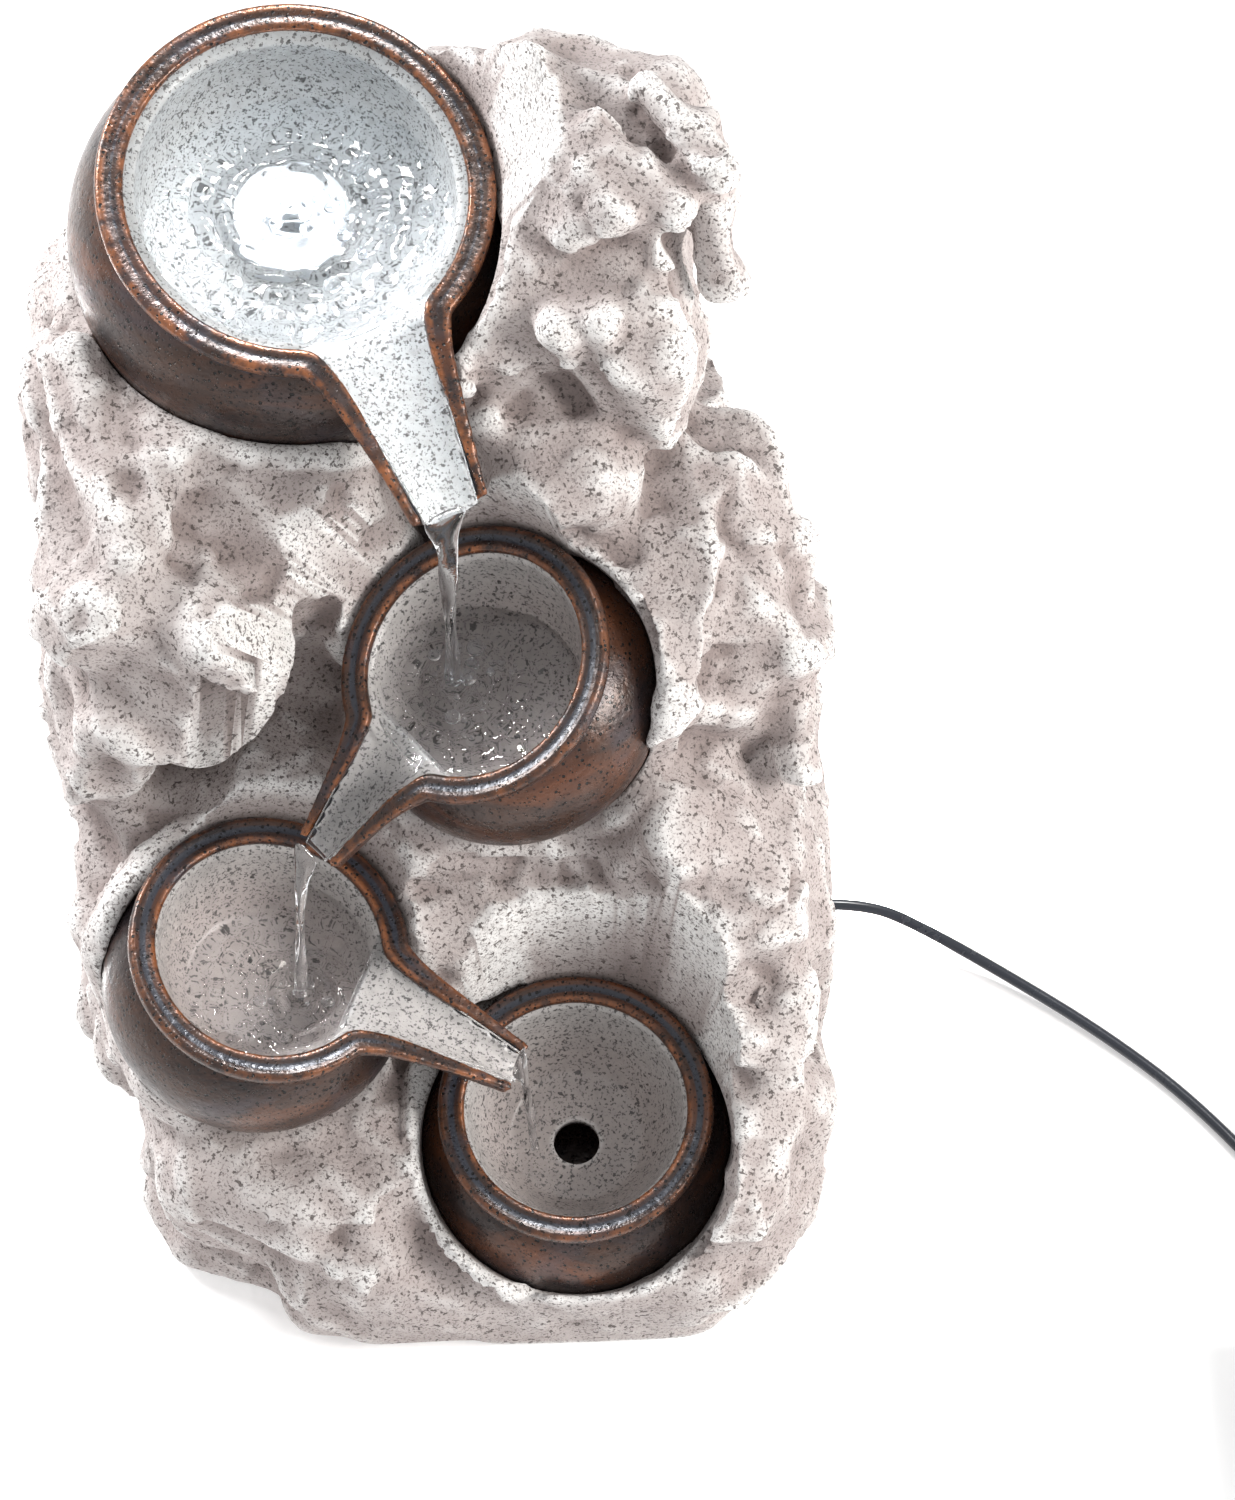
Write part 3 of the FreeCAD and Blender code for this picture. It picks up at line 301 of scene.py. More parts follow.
def coil_points():
    """The coil's turns: each keeps its place for most of a turn, then moves to the next."""
    points = []
    total = len(BUNDLE) * STEPS_A_TURN
    sweep = 2 * math.pi * len(BUNDLE) + COIL_LEAVE - COIL_ENTRY
    for step in range(total + 1):
        turn, part = divmod(step / STEPS_A_TURN, 1)
        here = BUNDLE[min(int(turn), len(BUNDLE) - 1)]
        onward = BUNDLE[min(int(turn) + 1, len(BUNDLE) - 1)]
        share = max(0.0, (part - 0.75) / 0.25)
        column = here[0] + share * (onward[0] - here[0])
        row = here[1] + share * (onward[1] - here[1])
        radius = (COIL_TURN + column * LAY_STEP) * MM
        angle = COIL_ENTRY + sweep * step / total
        points.append(Vector((coil_centre.x + radius * math.cos(angle),
                              coil_centre.y + radius * math.sin(angle),
                              (ROW_LOW + row * ROW_STEP) * MM)))
    return points


def on_route(x, y, z):
    return Vector((exit_point.x + x * MM, exit_point.y + y * MM, z * MM))


adapter_relief_low, adapter_relief_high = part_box("adapter_relief")
tail_x = (adapter_relief_low.x + adapter_relief_high.x) / 2
tail_z = (adapter_relief_low.z + adapter_relief_high.z) / 2
TAIL_POINTS = [(-9.0, 23.4, 5.4), (-5.2, 17.5, 4.2), (-1.8, 10.5, 3.4), (0, 4, 6), (0, 0, 6)]
tail = [Vector((tail_x + x * MM, adapter_relief_high.y + y * MM, z * MM))
        for x, y, z in TAIL_POINTS]
tail[-1].z = tail[-2].z = tail_z
route = [on_route(*point) for point in LEAD_POINTS] + coil_points() + tail

# %% Cord: one spline
cord_curve = bpy.data.curves.new("power_lead", "CURVE")
cord_curve.dimensions = "3D"
spline = cord_curve.splines.new("NURBS")
spline.points.add(len(route) - 1)
for point, place in zip(spline.points, route):
    point.co = (*place, 1)
spline.order_u = 3
spline.use_endpoint_u = True
spline.resolution_u = 6
cord_curve.bevel_depth = CORD_RADIUS * MM
cord_curve.bevel_resolution = 5
cord_curve.use_fill_caps = True
power_lead = bpy.data.objects.new("power_lead", cord_curve)
bpy.context.scene.collection.objects.link(power_lead)
line_length = sum((b - a).length for a, b in zip(route, route[1:]))
print(f"the cord's control points are {line_length:.3f} m apart in all")

# %% [markdown]
# ## How a pot is made
# A potter throws the belly, lays a rolled rim on it and pulls the spout from a slab. The
# mesh is made the same way: a profile is spun round for the belly, a slab is bent into a
# trough for the spout, and the rim is one band swept along the ladle's outline. A voxel
# remesh then melts them into one wall, as wet clay would, and a smoothing pass takes off the
# voxels' steps. Each pot is made in its own frame, with the rim's centre at the origin, its
# axis up and its spout along X, and is then leaned into its place.


# %% Pots: their sizes and where they stand, in millimetres and degrees
class Pot:
    def __init__(self, name, centre, heading, lean_to, lean, belly, rim, waist, bottom, mouth,
                 floor, deep, reach=0, root=0, tip=0, fall=0, level=0):
        self.name, self.belly, self.rim, self.waist = name, belly, rim, waist
        self.bottom, self.mouth, self.floor, self.deep = bottom, mouth, floor, deep
        self.reach, self.root, self.tip, self.fall = reach, root, tip, fall
        self.level = level  # of its water, above the table
        lean_axis = Vector((-math.sin(math.radians(lean_to)), math.cos(math.radians(lean_to)), 0))
        turn = Matrix.Rotation(math.radians(lean), 4, lean_axis) @ Matrix.Rotation(
            math.radians(heading), 4, "Z")
        self.matrix = Matrix.Translation(Vector(centre) * MM) @ turn

    def half_width(self, x):
        """Half the spout's width at x, flaring where it leaves the rim."""
        share = min(max((x - self.mouth) / (self.reach - self.mouth), -1), 1)
        flare = 2 * math.exp(-max(x - self.mouth - 2, -6) / 4)
        return (self.root + share * (self.tip - self.root)) / 2 + flare

    def sink(self, x):
        """How far the spout has fallen below the rim's plane at x."""
        share = max(0.0, (x - self.mouth) / (self.reach - self.mouth))
        return self.fall * share ** 1.3


POTS = [
    Pot("top_pot", (-29.5, 68.1, 237.4), -62, -64, 16, 53, 46.5, 26, 61, 40.5, 25, 31,
        83, 30, 18.5, 11, 224.5),
    Pot("second_pot", (10.5, -14, 160), -139, -150, 25, 38, 34.5, 20, 48, 28, 18, 25,
        59, 24, 12.5, 5, 146),
    Pot("third_pot", (-40, -62, 105), -20, -20, 14, 38, 34.5, 20, 48, 28, 18, 25,
        68, 24, 12.5, 5, 93),
    Pot("bottom_pot", (34.5, -85, 62), 0, -90, 8, 41, 34.5, 23, 51, 28, 18, 25),
]
TOP_POT, BOTTOM_POT = POTS[0], POTS[3]
RIM_BAND = 6.4        # width of the rim's band
POT_WALL = 4.0
SLAB = 2.8            # thickness of the spout's wall
TROUGH = 9.0          # depth of the spout's wall at its root


def arc(low, middle, high, count):
    """Points on the circle through three places, in a profile's radius and height."""
    (ax, ay), (bx, by), (cx, cy) = low, middle, high
    d = 2 * (ax * (by - cy) + bx * (cy - ay) + cx * (ay - by))
    ux = ((ax**2 + ay**2) * (by - cy) + (bx**2 + by**2) * (cy - ay) + (cx**2 + cy**2) * (ay - by)) / d
    uy = ((ax**2 + ay**2) * (cx - bx) + (bx**2 + by**2) * (ax - cx) + (cx**2 + cy**2) * (bx - ax)) / d
    start, end = (math.atan2(y - uy, x - ux) for x, y in (low, high))
    through = math.atan2(by - uy, bx - ux)
    if not min(start, end) <= through <= max(start, end):
        start += 2 * math.pi if start < end else 0
        end += 2 * math.pi if end < start else 0
    radius = math.hypot(ax - ux, ay - uy)
    return [(ux + radius * math.cos(start + (end - start) * i / count),
             uy + radius * math.sin(start + (end - start) * i / count)) for i in range(count + 1)]


def turned(name, profile, steps=96):
    """Spins a profile of (radius, height) points in millimetres about Z, as on a wheel."""
    mesh = bpy.data.meshes.new(name)
    points = [(radius * MM, 0, height * MM) for radius, height in profile]
    mesh.from_pydata(points, [(i, i + 1) for i in range(len(points) - 1)], [])
    obj = bpy.data.objects.new(name, mesh)
    bpy.context.scene.collection.objects.link(obj)
    only(obj)
    bpy.ops.object.mode_set(mode="EDIT")
    bpy.ops.mesh.select_all(action="SELECT")
    bpy.ops.mesh.spin(steps=steps, angle=2 * math.pi, center=(0, 0, 0), axis=(0, 0, 1))
    bpy.ops.mesh.select_all(action="SELECT")
    bpy.ops.mesh.remove_doubles(threshold=0.00002)
    bpy.ops.mesh.normals_make_consistent(inside=False)
    bpy.ops.object.mode_set(mode="OBJECT")
    return obj


def slab(name, pot, start, end, across, height, thick):
    """A sheet bent along the spout, given thickness.

    across(x) is its half width and height(x, share) its height, both in millimetres. A
    positive thickness goes up and a negative one down.
    """
    clear_selection()
    columns, rows = 48, 24
    bpy.ops.mesh.primitive_grid_add(x_subdivisions=columns, y_subdivisions=rows, size=2)
    obj = bpy.context.object
    obj.name = name
    for vertex in obj.data.vertices:
        x = start + (end - start) * (vertex.co.x + 1) / 2
        share = vertex.co.y
        vertex.co = Vector((x, share * across(x), height(x, share))) * MM
    only(obj)
    bpy.ops.object.mode_set(mode="EDIT")
    bpy.ops.mesh.select_all(action="SELECT")
    bpy.ops.mesh.extrude_region_move(TRANSFORM_OT_translate={"value": (0, 0, thick * MM)})
    bpy.ops.mesh.select_all(action="SELECT")
    bpy.ops.mesh.normals_make_consistent(inside=False)
    bpy.ops.object.mode_set(mode="OBJECT")
    return obj


def belly_side(pot, grow=0.0):
    base = pot.belly * 0.45
    return arc((base, -pot.bottom - grow), (pot.belly + grow, -pot.waist),
               (pot.rim - 3 + grow, -6), 28)


def rim_line(pot):
    """The middle of the rim's band: round the pot, and out along both sides of the spout."""
    radius = pot.rim - RIM_BAND / 2
    if not pot.reach:
        return [(radius * math.cos(a), radius * math.sin(a), 0)
                for a in (math.radians(5 * i) for i in range(72))]
    side = []
    corner = pot.mouth + 4
    for i in range(15):
        x = corner + (pot.reach - corner) * i / 14
        side.append((x, pot.half_width(x) - 0.8, -pot.sink(x)))
    start = math.asin((side[0][1] + 1.5) / radius)
    count = 60
    ring = [(radius * math.cos(start + (2 * math.pi - 2 * start) * i / count),
             radius * math.sin(start + (2 * math.pi - 2 * start) * i / count), 0)
            for i in range(count + 1)]
    other = [(x, -y, z) for x, y, z in side]
    return side[::-1] + ring + other


def rim_section():
    """The band's section: flat on top with a low ridge along each edge."""
    outline = [(-3.2, -1.6), (-3.4, 0.4), (-2.5, 1.5), (-1.2, 0.9), (0.4, 0.8), (1.9, 1.6),
               (3.2, 1.1), (3.6, -0.8), (2.9, -3.0), (0.6, -4.2), (-2.2, -3.6)]
    curve = bpy.data.curves.new("rim_section", "CURVE")
    spline = curve.splines.new("NURBS")
    spline.points.add(len(outline) - 1)
    for point, (x, y) in zip(spline.points, outline):
        point.co = (x * MM, y * MM, 0, 1)
    spline.order_u = 3
    spline.use_cyclic_u = True
    section = bpy.data.objects.new("rim_section", curve)
    bpy.context.scene.collection.objects.link(section)
    return section


def rim_band(pot):
    """Sweeps the section along the rim's line, thinning towards the spout's tip."""
    line = rim_line(pot)
    curve = bpy.data.curves.new(pot.name + "_band", "CURVE")
    curve.dimensions = "3D"
    spline = curve.splines.new("NURBS")
    spline.points.add(len(line) - 1)
    for point, (x, y, z) in zip(spline.points, line):
        point.co = (x * MM, y * MM, z * MM, 1)
        out = max(0.0, (x - pot.mouth) / (pot.reach - pot.mouth)) if pot.reach else 0
        point.radius = 1 - 0.66 * min(out * 1.1, 1) ** 0.8
    spline.order_u = 3
    spline.use_cyclic_u = not pot.reach
    spline.use_endpoint_u = bool(pot.reach)
    spline.resolution_u = 4
    section = rim_section()
    curve.bevel_mode = "OBJECT"
    curve.bevel_object = section
    curve.use_fill_caps = True
    curve.twist_mode = "Z_UP"
    band = bpy.data.objects.new(pot.name + "_band", curve)
    bpy.context.scene.collection.objects.link(band)
    only(band)
    bpy.ops.object.convert(target="MESH")
    bpy.data.objects.remove(section)
    return bpy.context.object


def trough_height(pot, deep, lift=0.0):
    """The trough's floor: round across, shallower towards the tip, falling with the spout."""
    def height(x, share):
        out = max(0.0, (x - pot.mouth) / (pot.reach - pot.mouth))
        return -pot.sink(x) - deep * (1 - 0.35 * out) * (1 - abs(share) ** 2.6) + lift
    return height


TOP_SKIN, POT_SKIN, STONE_SKIN = 0.86, 0.68, 0.75  # voxels: top pot, small pots, liners


def melt(obj, voxel=STONE_SKIN, passes=4):
    """Joins all that overlaps into one skin, and takes the steps off it."""
    modify(obj, "REMESH", mode="VOXEL", voxel_size=voxel * MM)
    modify(obj, "SMOOTH", factor=0.5, iterations=passes)
    return obj


def throw_pot(pot):
    """The dark pot: belly, rim and spout in one wall."""
    outside = [(0, -pot.bottom), (pot.belly * 0.40, -pot.bottom)] + belly_side(pot)
    seat = pot.mouth + 2.6
    inside = [(seat + 0.4, -3), (seat, -6), (pot.belly - POT_WALL, -pot.waist),
              (pot.belly * 0.45 - 2, -pot.bottom + POT_WALL), (0, -pot.bottom + POT_WALL)]
    body = turned(pot.name + "_wall", outside + inside)
    parts = [body, rim_band(pot)]
    if pot.reach:
        gate = slab("gate", pot, pot.mouth * 0.5, pot.reach + 3, lambda x: pot.half_width(x) - 2.2,
                    trough_height(pot, TROUGH - SLAB), 30)
        boolean(body, gate, "DIFFERENCE")
        parts.append(slab("trough", pot, pot.mouth * 0.9, pot.reach - 0.6,
                          lambda x: pot.half_width(x) + 0.4, trough_height(pot, TROUGH - SLAB),
                          -SLAB))
    return melt(join(pot.name + "_clay", parts), TOP_SKIN if pot is TOP_POT else POT_SKIN)


def carve_liner(pot):
    """The pale stone bowl: a sloping lip, a round hollow, and its bed along the spout."""
    edge = pot.mouth + 2.1
    inner_lip = pot.mouth - (3.2 if pot is TOP_POT else 0.8)
    profile = [(0, -pot.deep - 3), (pot.floor + 1, -pot.deep - 3)]
    profile += arc((pot.floor + 2, -pot.deep - 2.6), (pot.mouth - 1, -pot.deep * 0.6),
                   (edge, -5), 12)
    profile += [(edge, -0.6), (edge - 0.8, 0.1), (inner_lip + 1, -1.3)]
    profile += arc((inner_lip, -2.2), (pot.mouth - (6.5 if pot is TOP_POT else 4.8), -pot.deep * 0.62),
                   (pot.floor - 1, -pot.deep), 14)
    profile += [(0, -pot.deep)]
    bowl = turned(pot.name + "_bowl", profile)
    if not pot.reach:
        return melt(bowl, passes=3)
    bed = trough_height(pot, 4.2, -0.7)
    gate = slab("gate", pot, pot.floor * 0.9, pot.reach + 3, lambda x: pot.half_width(x) - 4.5,
                bed, 30)
    boolean(bowl, gate, "DIFFERENCE")
    stone = slab("bed", pot, pot.mouth - 4, pot.reach - 0.2, lambda x: pot.half_width(x) - 2.4,
                 bed, -3.2)
    return melt(join(pot.name + "_stone", [bowl, stone]), passes=5)


def stand(obj, pot):
    """Leans a piece made in the pot's own frame into its place."""
    obj.data.transform(pot.matrix)
    obj.data.update()
    return obj

# %% [markdown]
# ## The cast rock
# The rock is a hollow casting, whose mould was taken from piled boulders. Bevelled blocks
# give the boulders, long ridges are laid along the upper faces, and a voxel remesh makes
# one skin of them. Then the skin is chiselled: where flakes have come off a stone, shallow
# hollows meet in sharp edges, and a cell pattern has just that form, if each point is moved
# in by how near it lies to the middle of its cell. Three sizes of hollow, bent by a noise
# and stretched along a slant, give the long furrows, the facets and the small chips.

# %% Rock: boulders (centre, half sizes, turn about X, Y and Z in degrees, bevel; in mm)
BOULDERS = [
    ((38, -82, 22), (44, 44, 36), (4, 0, 4), 22),
    ((60, -62, 30), (38, 44, 42), (2, 0, 10), 22),
    ((-32, -70, 22), (44, 43, 36), (0, 4, -14), 20),
    ((-4, -97, 18), (40, 29, 18), (0, 0, 0), 10),
    ((60, -6, 44), (40, 60, 54), (0, 2, 4), 18),
    ((-60, 16, 50), (39, 80, 60), (0, -3, 6), 20),
    ((-12, 72, 66), (82, 54, 80), (0, 0, 0), 18),
    ((70, 58, 16), (28, 54, 24), (0, 0, 6), 10),
    ((58, 74, 48), (35, 39, 32), (0, 0, 0), 14),
    ((0, 2, 62), (66, 46, 60), (-4, 0, 5), 16),
    ((-54, 52, 144), (45, 54, 54), (0, 4, 7), 20),
    ((52, 22, 118), (38, 43, 54), (6, 3, 14), 22),
    ((24, 76, 184), (38, 40, 60), (3, 0, 4), 12),
    ((40, 78, 228), (27, 25, 36), (8, 4, -8), 10),
]
# %% Rock: ledges and lumps laid on the boulders
LUMPS = [
    ((-80, 22, 172), (18, 40, 22), (10, 14, 8), 8),
    ((-62, -8, 158), (30, 14, 26), (-20, 8, -22), 7),
    ((-84, -2, 128), (14, 30, 26), (0, 10, 10), 7),
    ((-64, -58, 58), (20, 30, 30), (0, 10, 20), 9),
    ((-45, -96, 44), (24, 14, 14), (-18, 0, -18), 6),
    ((-14, -98, 44), (20, 12, 12), (-15, 0, 12), 5),
    ((70, -96, 46), (20, 22, 30), (0, -8, -24), 9),
    ((60, -28, 108), (20, 20, 22), (10, 10, 20), 9),
    ((22, -46, 84), (34, 12, 16), (-24, 0, 4), 6),
    ((76, 30, 148), (16, 28, 26), (12, -12, 10), 9),
    ((72, -30, 96), (22, 34, 20), (8, -10, 4), 8),
    ((26, 28, 172), (20, 16, 26), (16, 0, 10), 7),
    ((54, 44, 210), (14, 16, 22), (14, -10, -6), 6),
    ((6, -118, 14), (30, 10, 12), (0, 0, 5), 5),
    ((-48, -88, 20), (20, 16, 20), (0, 0, 25), 7),
]
# %% Rock: ridges along the peak, the slabs and the ledges (from, to, half width)
RIDGES = [
    ((10, 97, 243), (34, 50, 246), 6), ((24, 80, 264), (44, 48, 254), 6),
    ((40, 64, 266), (58, 48, 256), 5), ((52, 72, 268), (68, 56, 260), 5),
    ((64, 66, 262), (70, 48, 232), 6), ((42, 36, 231), (53, 34, 207), 5),
    ((32, 36, 227), (45, 33, 200), 5), ((18, 60, 234), (30, 40, 212), 5),
    ((72, 30, 172), (86, -4, 150), 7), ((86, 20, 158), (90, -22, 126), 6),
    ((-84, 44, 200), (-70, 0, 187), 7), ((-80, -4, 180), (-52, -6, 132), 6),
    ((-92, 8, 112), (-88, -20, 98), 6), ((-88, -22, 98), (-78, -58, 80), 6),
    ((-66, -92, 48), (-46, -104, 51), 5), ((-46, -104, 51), (-22, -104, 52), 5),
    ((-22, -104, 52), (-4, -88, 50), 5), ((4, -58, 76), (30, -49, 71), 6),
    ((30, -49, 71), (58, -55, 76), 6), ((58, -55, 76), (76, -76, 82), 6),
    ((88, -62, 84), (80, -102, 56), 6), ((60, -118, 28), (82, -102, 50), 5),
    ((-22, -38, 98), (20, -44, 90), 5), ((14, 30, 196), (34, 20, 168), 6),
    ((70, -20, 118), (82, -50, 92), 6),
]


def block(centre, half, turn, bevel):
    """A bevelled block, leaned by three angles."""
    clear_selection()
    bpy.ops.mesh.primitive_cube_add(size=2, location=Vector(centre) * MM,
                                    rotation=[math.radians(angle) for angle in turn],
                                    scale=Vector(half) * MM)
    obj = apply_place(bpy.context.object)
    only(obj)
    bpy.ops.object.mode_set(mode="EDIT")
    bpy.ops.mesh.select_all(action="SELECT")
    bpy.ops.mesh.bevel(offset=min(bevel, 0.45 * min(half)) * MM, segments=1, affect="EDGES")
    bpy.ops.object.mode_set(mode="OBJECT")
    return obj


def ridge(start, end, half):
    """A long slim block between two places."""
    low, high = Vector(start), Vector(end)
    obj = block((0, 0, 0), ((high - low).length / 2 + half, half, half), (45, 0, 0), half / 2)
    turn = (high - low).to_track_quat("X", "Z").to_matrix().to_4x4()
    obj.data.transform(Matrix.Translation((low + high) / 2 * MM) @ turn)
    return obj


# %% Rock: room for the pots
def pot_form(pot, grow=0.0, room=8.0):
    """A pot's full form with the air above it, for clearing the rock."""
    profile = [(0, -pot.bottom - grow), (pot.belly * 0.42, -pot.bottom - grow)]
    profile += belly_side(pot, grow)
    profile += [(pot.rim + grow, -3.5), (pot.rim + grow + room * 0.25, 3),
                (pot.rim + grow + room * 2, 60), (0, 60)]
    form = turned("form", profile, 96)
    if pot.reach:
        def half_lane(x):
            return pot.half_width(x) + 2 + grow + room * 0.4

        lane = slab("lane", pot, 0, pot.reach + 5 + grow, half_lane,
                    trough_height(pot, TROUGH + 2 + grow), 50)
        boolean(form, lane, "UNION")
    return stand(form, pot)


OPEN_WAY = Vector((0, -math.cos(ELEVATION), math.sin(ELEVATION)))  # where the pots face


def pot_outlook(pot, grow, far, widen):
    """The belly's form drawn out towards the front and up, so that no rock hides it."""
    profile = [(0, -pot.bottom)] + belly_side(pot, grow) + [(pot.rim + grow, -2), (0, -2)]
    near_form = stand(turned("near", profile, 144), pot)
    far_form = near_form.copy()
    far_form.data = near_form.data.copy()
    bpy.context.scene.collection.objects.link(far_form)
    middle = pot.matrix @ Vector((0, 0, -pot.waist * MM))
    far_form.data.transform(Matrix.Translation(OPEN_WAY * far * MM) @ Matrix.Translation(middle)
                            @ Matrix.Scale(widen, 4) @ Matrix.Translation(-middle))
    outlook = join("outlook", [near_form, far_form])
    only(outlook)
    bpy.ops.object.mode_set(mode="EDIT")
    bpy.ops.mesh.select_all(action="SELECT")
    bpy.ops.mesh.convex_hull()
    bpy.ops.mesh.select_all(action="SELECT")
    bpy.ops.mesh.normals_make_consistent(inside=False)
    bpy.ops.object.mode_set(mode="OBJECT")
    return outlook


# %% Rock: chiselling the skin
SLANT = Matrix.Rotation(math.radians(38), 3, "Y") @ Matrix.Rotation(math.radians(-32), 3, "Z")
SLANT_BACK = SLANT.transposed()


BELLIES = [(pot.matrix @ Vector((0, 0, -pot.waist * MM)) / MM, pot.belly) for pot in POTS]


def hollows(place, size, seed, stretch=2.0, bend=0.4):
    """0 in the middle of a hollow and about 1 on the sharp edges between hollows."""
    spot = SLANT_BACK @ place / size
    spot.x /= stretch
    spot += Vector((seed, seed * 0.7, -seed))
    spot += bend * noise.noise_vector(spot * 1.3)
    near, second = noise.voronoi(spot)[0][:2]
    return min(near * near / max(second * second, 1e-6), 1.0) * min(near * 1.2, 1.0)


def facets(place, size, seed):
    """Tilted planes, one for each cell, that break off at the cells' borders."""
    spot = SLANT_BACK @ place / size + Vector((seed, -seed, seed))
    spot += 0.25 * noise.noise_vector(spot * 1.7)
    corner = noise.voronoi(spot)[1][0]
    lean = noise.cell_vector(corner * 7.3)
    return (spot - corner).dot(lean - Vector((0.5, 0.5, 0.5))) * 2


def furrows(place, size, seed):
    """Long furrows along the slant, with sharp backs between them."""
    spot = SLANT_BACK @ place / size
    spot.x /= 4
    spot += Vector((seed, seed, -seed)) + 0.5 * noise.noise_vector(spot * 0.9)
    return 1 - abs(noise.noise(spot)) * 2.2


def quiet(place):
    """0 where the casting is plain, round the door, the cord's exit and the foot."""
    share = 1.0
    if place.y > 108:
        beside = max(abs(place.x) - DOOR_HALF - 8, DOOR_LOW - 8 - place.z, place.z - DOOR_HIGH - 8)
        share = min(share, max(0.0, beside / 14))
    if place.x > 84 and place.z < 34:
        beside = max(abs(place.y - EXIT_Y) - 10, place.z - 22)
        share = min(share, max(0.0, beside / 8))
    return min(share, max(0.15, (place.z - 4) / 10))


def pot_gap(place):
    """How far a place lies outside the nearest belly, taken as a ball."""
    return min((place - middle).length - belly for middle, belly in BELLIES)


def held(value, soft, hard):
    """Keeps a coordinate within the casting's size: past soft, it nears hard ever slower."""
    over = abs(value) - soft
    if over <= 0:
        return value
    return math.copysign(soft + (hard - soft) * math.tanh(over / (hard - soft)), value)


def chisel(obj, cuts):
    """Moves each point along its normal by the sum of several patterns, in millimetres."""
    mesh = obj.data
    normals = [vertex.normal.copy() for vertex in mesh.vertices]
    for vertex, normal in zip(mesh.vertices, normals):
        place = vertex.co / MM
        depth = sum(amount * (kind(place, size, seed) - middle)
                    for kind, size, seed, amount, middle in cuts)
        if pot_gap(place) < 6:
            depth = max(depth, 0.8)
        place += normal * depth * quiet(place)
        vertex.co = Vector((held(place.x, 95, 102), held(place.y, 121, 128), place.z)) * MM
    mesh.update()
    return obj


door_low, door_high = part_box("rear_door")
DOOR_HALF, DOOR_LOW, DOOR_HIGH = door_high.x / MM - 6, door_low.z / MM + 6, door_high.z / MM - 6
EXIT_Y = exit_point.y / MM
ROUGH_SKIN, FINE_SKIN = 2.4, 1.7
# Pattern, size in mm, seed, amount in mm and the pattern's middle value.
ROUGH_CUTS = [(hollows, 62, 3.1, 6, 0.6), (facets, 54, 1.7, 6, 0.0)]
FINE_CUTS = [(furrows, 24, 2.6, 2.6, 0.55), (facets, 21, 6.3, 1.8, 0.0), (hollows, 32, 8.4, 1.4, 0.5)]


def cast_rock():
    """Boulders and ridges in one skin, chiselled coarsely, opened for the pots, then finely."""
    rock = join("cast_rock", [block(*values) for values in BOULDERS + LUMPS])
    modify(rock, "REMESH", mode="VOXEL", voxel_size=ROUGH_SKIN * MM)
    modify(rock, "SMOOTH", factor=0.5, iterations=3)
    chisel(rock, ROUGH_CUTS)
    rock = join("cast_rock", [rock] + [ridge(*values) for values in RIDGES])
    modify(rock, "REMESH", mode="VOXEL", voxel_size=FINE_SKIN * MM)
    modify(rock, "SMOOTH", factor=0.5, iterations=2)
    for pot in POTS:
        boolean(rock, pot_outlook(pot, -1.0, 130, 1.0), "DIFFERENCE", solver="MANIFOLD")
    modify(rock, "REMESH", mode="VOXEL", voxel_size=FINE_SKIN * MM)
    modify(rock, "SMOOTH", factor=0.5, iterations=1)
    return chisel(rock, FINE_CUTS)


# %% [markdown]
# ## The hollow casting
# The real rock is open below, where the base plate closes it, and has a door in its back.
# Each opening is cut with a plain block, whose size comes from the piece that fills it and
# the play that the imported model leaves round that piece. The cuts come after the chiselling,
# so their walls stay plain, as the mould's cores leave them.

# %% Rock: the hollow, the seat of the base plate, the door's opening and the cord's way out
CAVITY_LOW, CAVITY_HIGH = (-66, -39, -1), (80, 100, 66)
FOOT = 3.0
PLAY = 0.4


def cutter(low, high):
    middle = [(a + b) / 2 for a, b in zip(low, high)]
    half = [(b - a) / 2 for a, b in zip(low, high)]
    return block(middle, half, (0, 0, 0), 0.01)


def round_way(centre, radius, length):
    """A cylinder along X, for the gland."""
    clear_selection()
    bpy.ops.mesh.primitive_cylinder_add(vertices=48, radius=radius * MM, depth=length * MM,
                                        location=Vector(centre) * MM,
                                        rotation=(0, math.pi / 2, 0))
    return apply_place(bpy.context.object)


def open_rock(rock):
    plate_low, plate_high = (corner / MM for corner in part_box("base_plate"))
    low, high = door_low / MM, door_high / MM
    gland = Vector((gland_low.x / MM, EXIT_Y, exit_point.z / MM))
    cutters = [
        cutter((-300, -300, -60), (300, 300, FOOT)),
        cutter(CAVITY_LOW, CAVITY_HIGH),
        cutter((plate_low.x - PLAY, plate_low.y - PLAY, -1),
               (plate_high.x + PLAY, plate_high.y + PLAY, plate_high.z)),
        cutter((-DOOR_HALF, CAVITY_HIGH[1] - 1, DOOR_LOW), (DOOR_HALF, 170, DOOR_HIGH)),
        cutter((low.x - PLAY, GASKET_SEAT, low.z - PLAY), (high.x + PLAY, 170, high.z + PLAY)),
        round_way((gland.x + 30, gland.y, gland.z), 5.2, 80),
        round_way((GLAND_SEAT + 30, gland.y, gland.z), 8.5, 60),
    ]
    for other in cutters:
        boolean(rock, other, "DIFFERENCE", solver="MANIFOLD")
    for pot in POTS:
        boolean(rock, pot_form(pot, 0.3), "DIFFERENCE", solver="MANIFOLD")
    return rock


GASKET_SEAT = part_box("door_gasket")[0].y / MM
GLAND_SEAT = 91.0
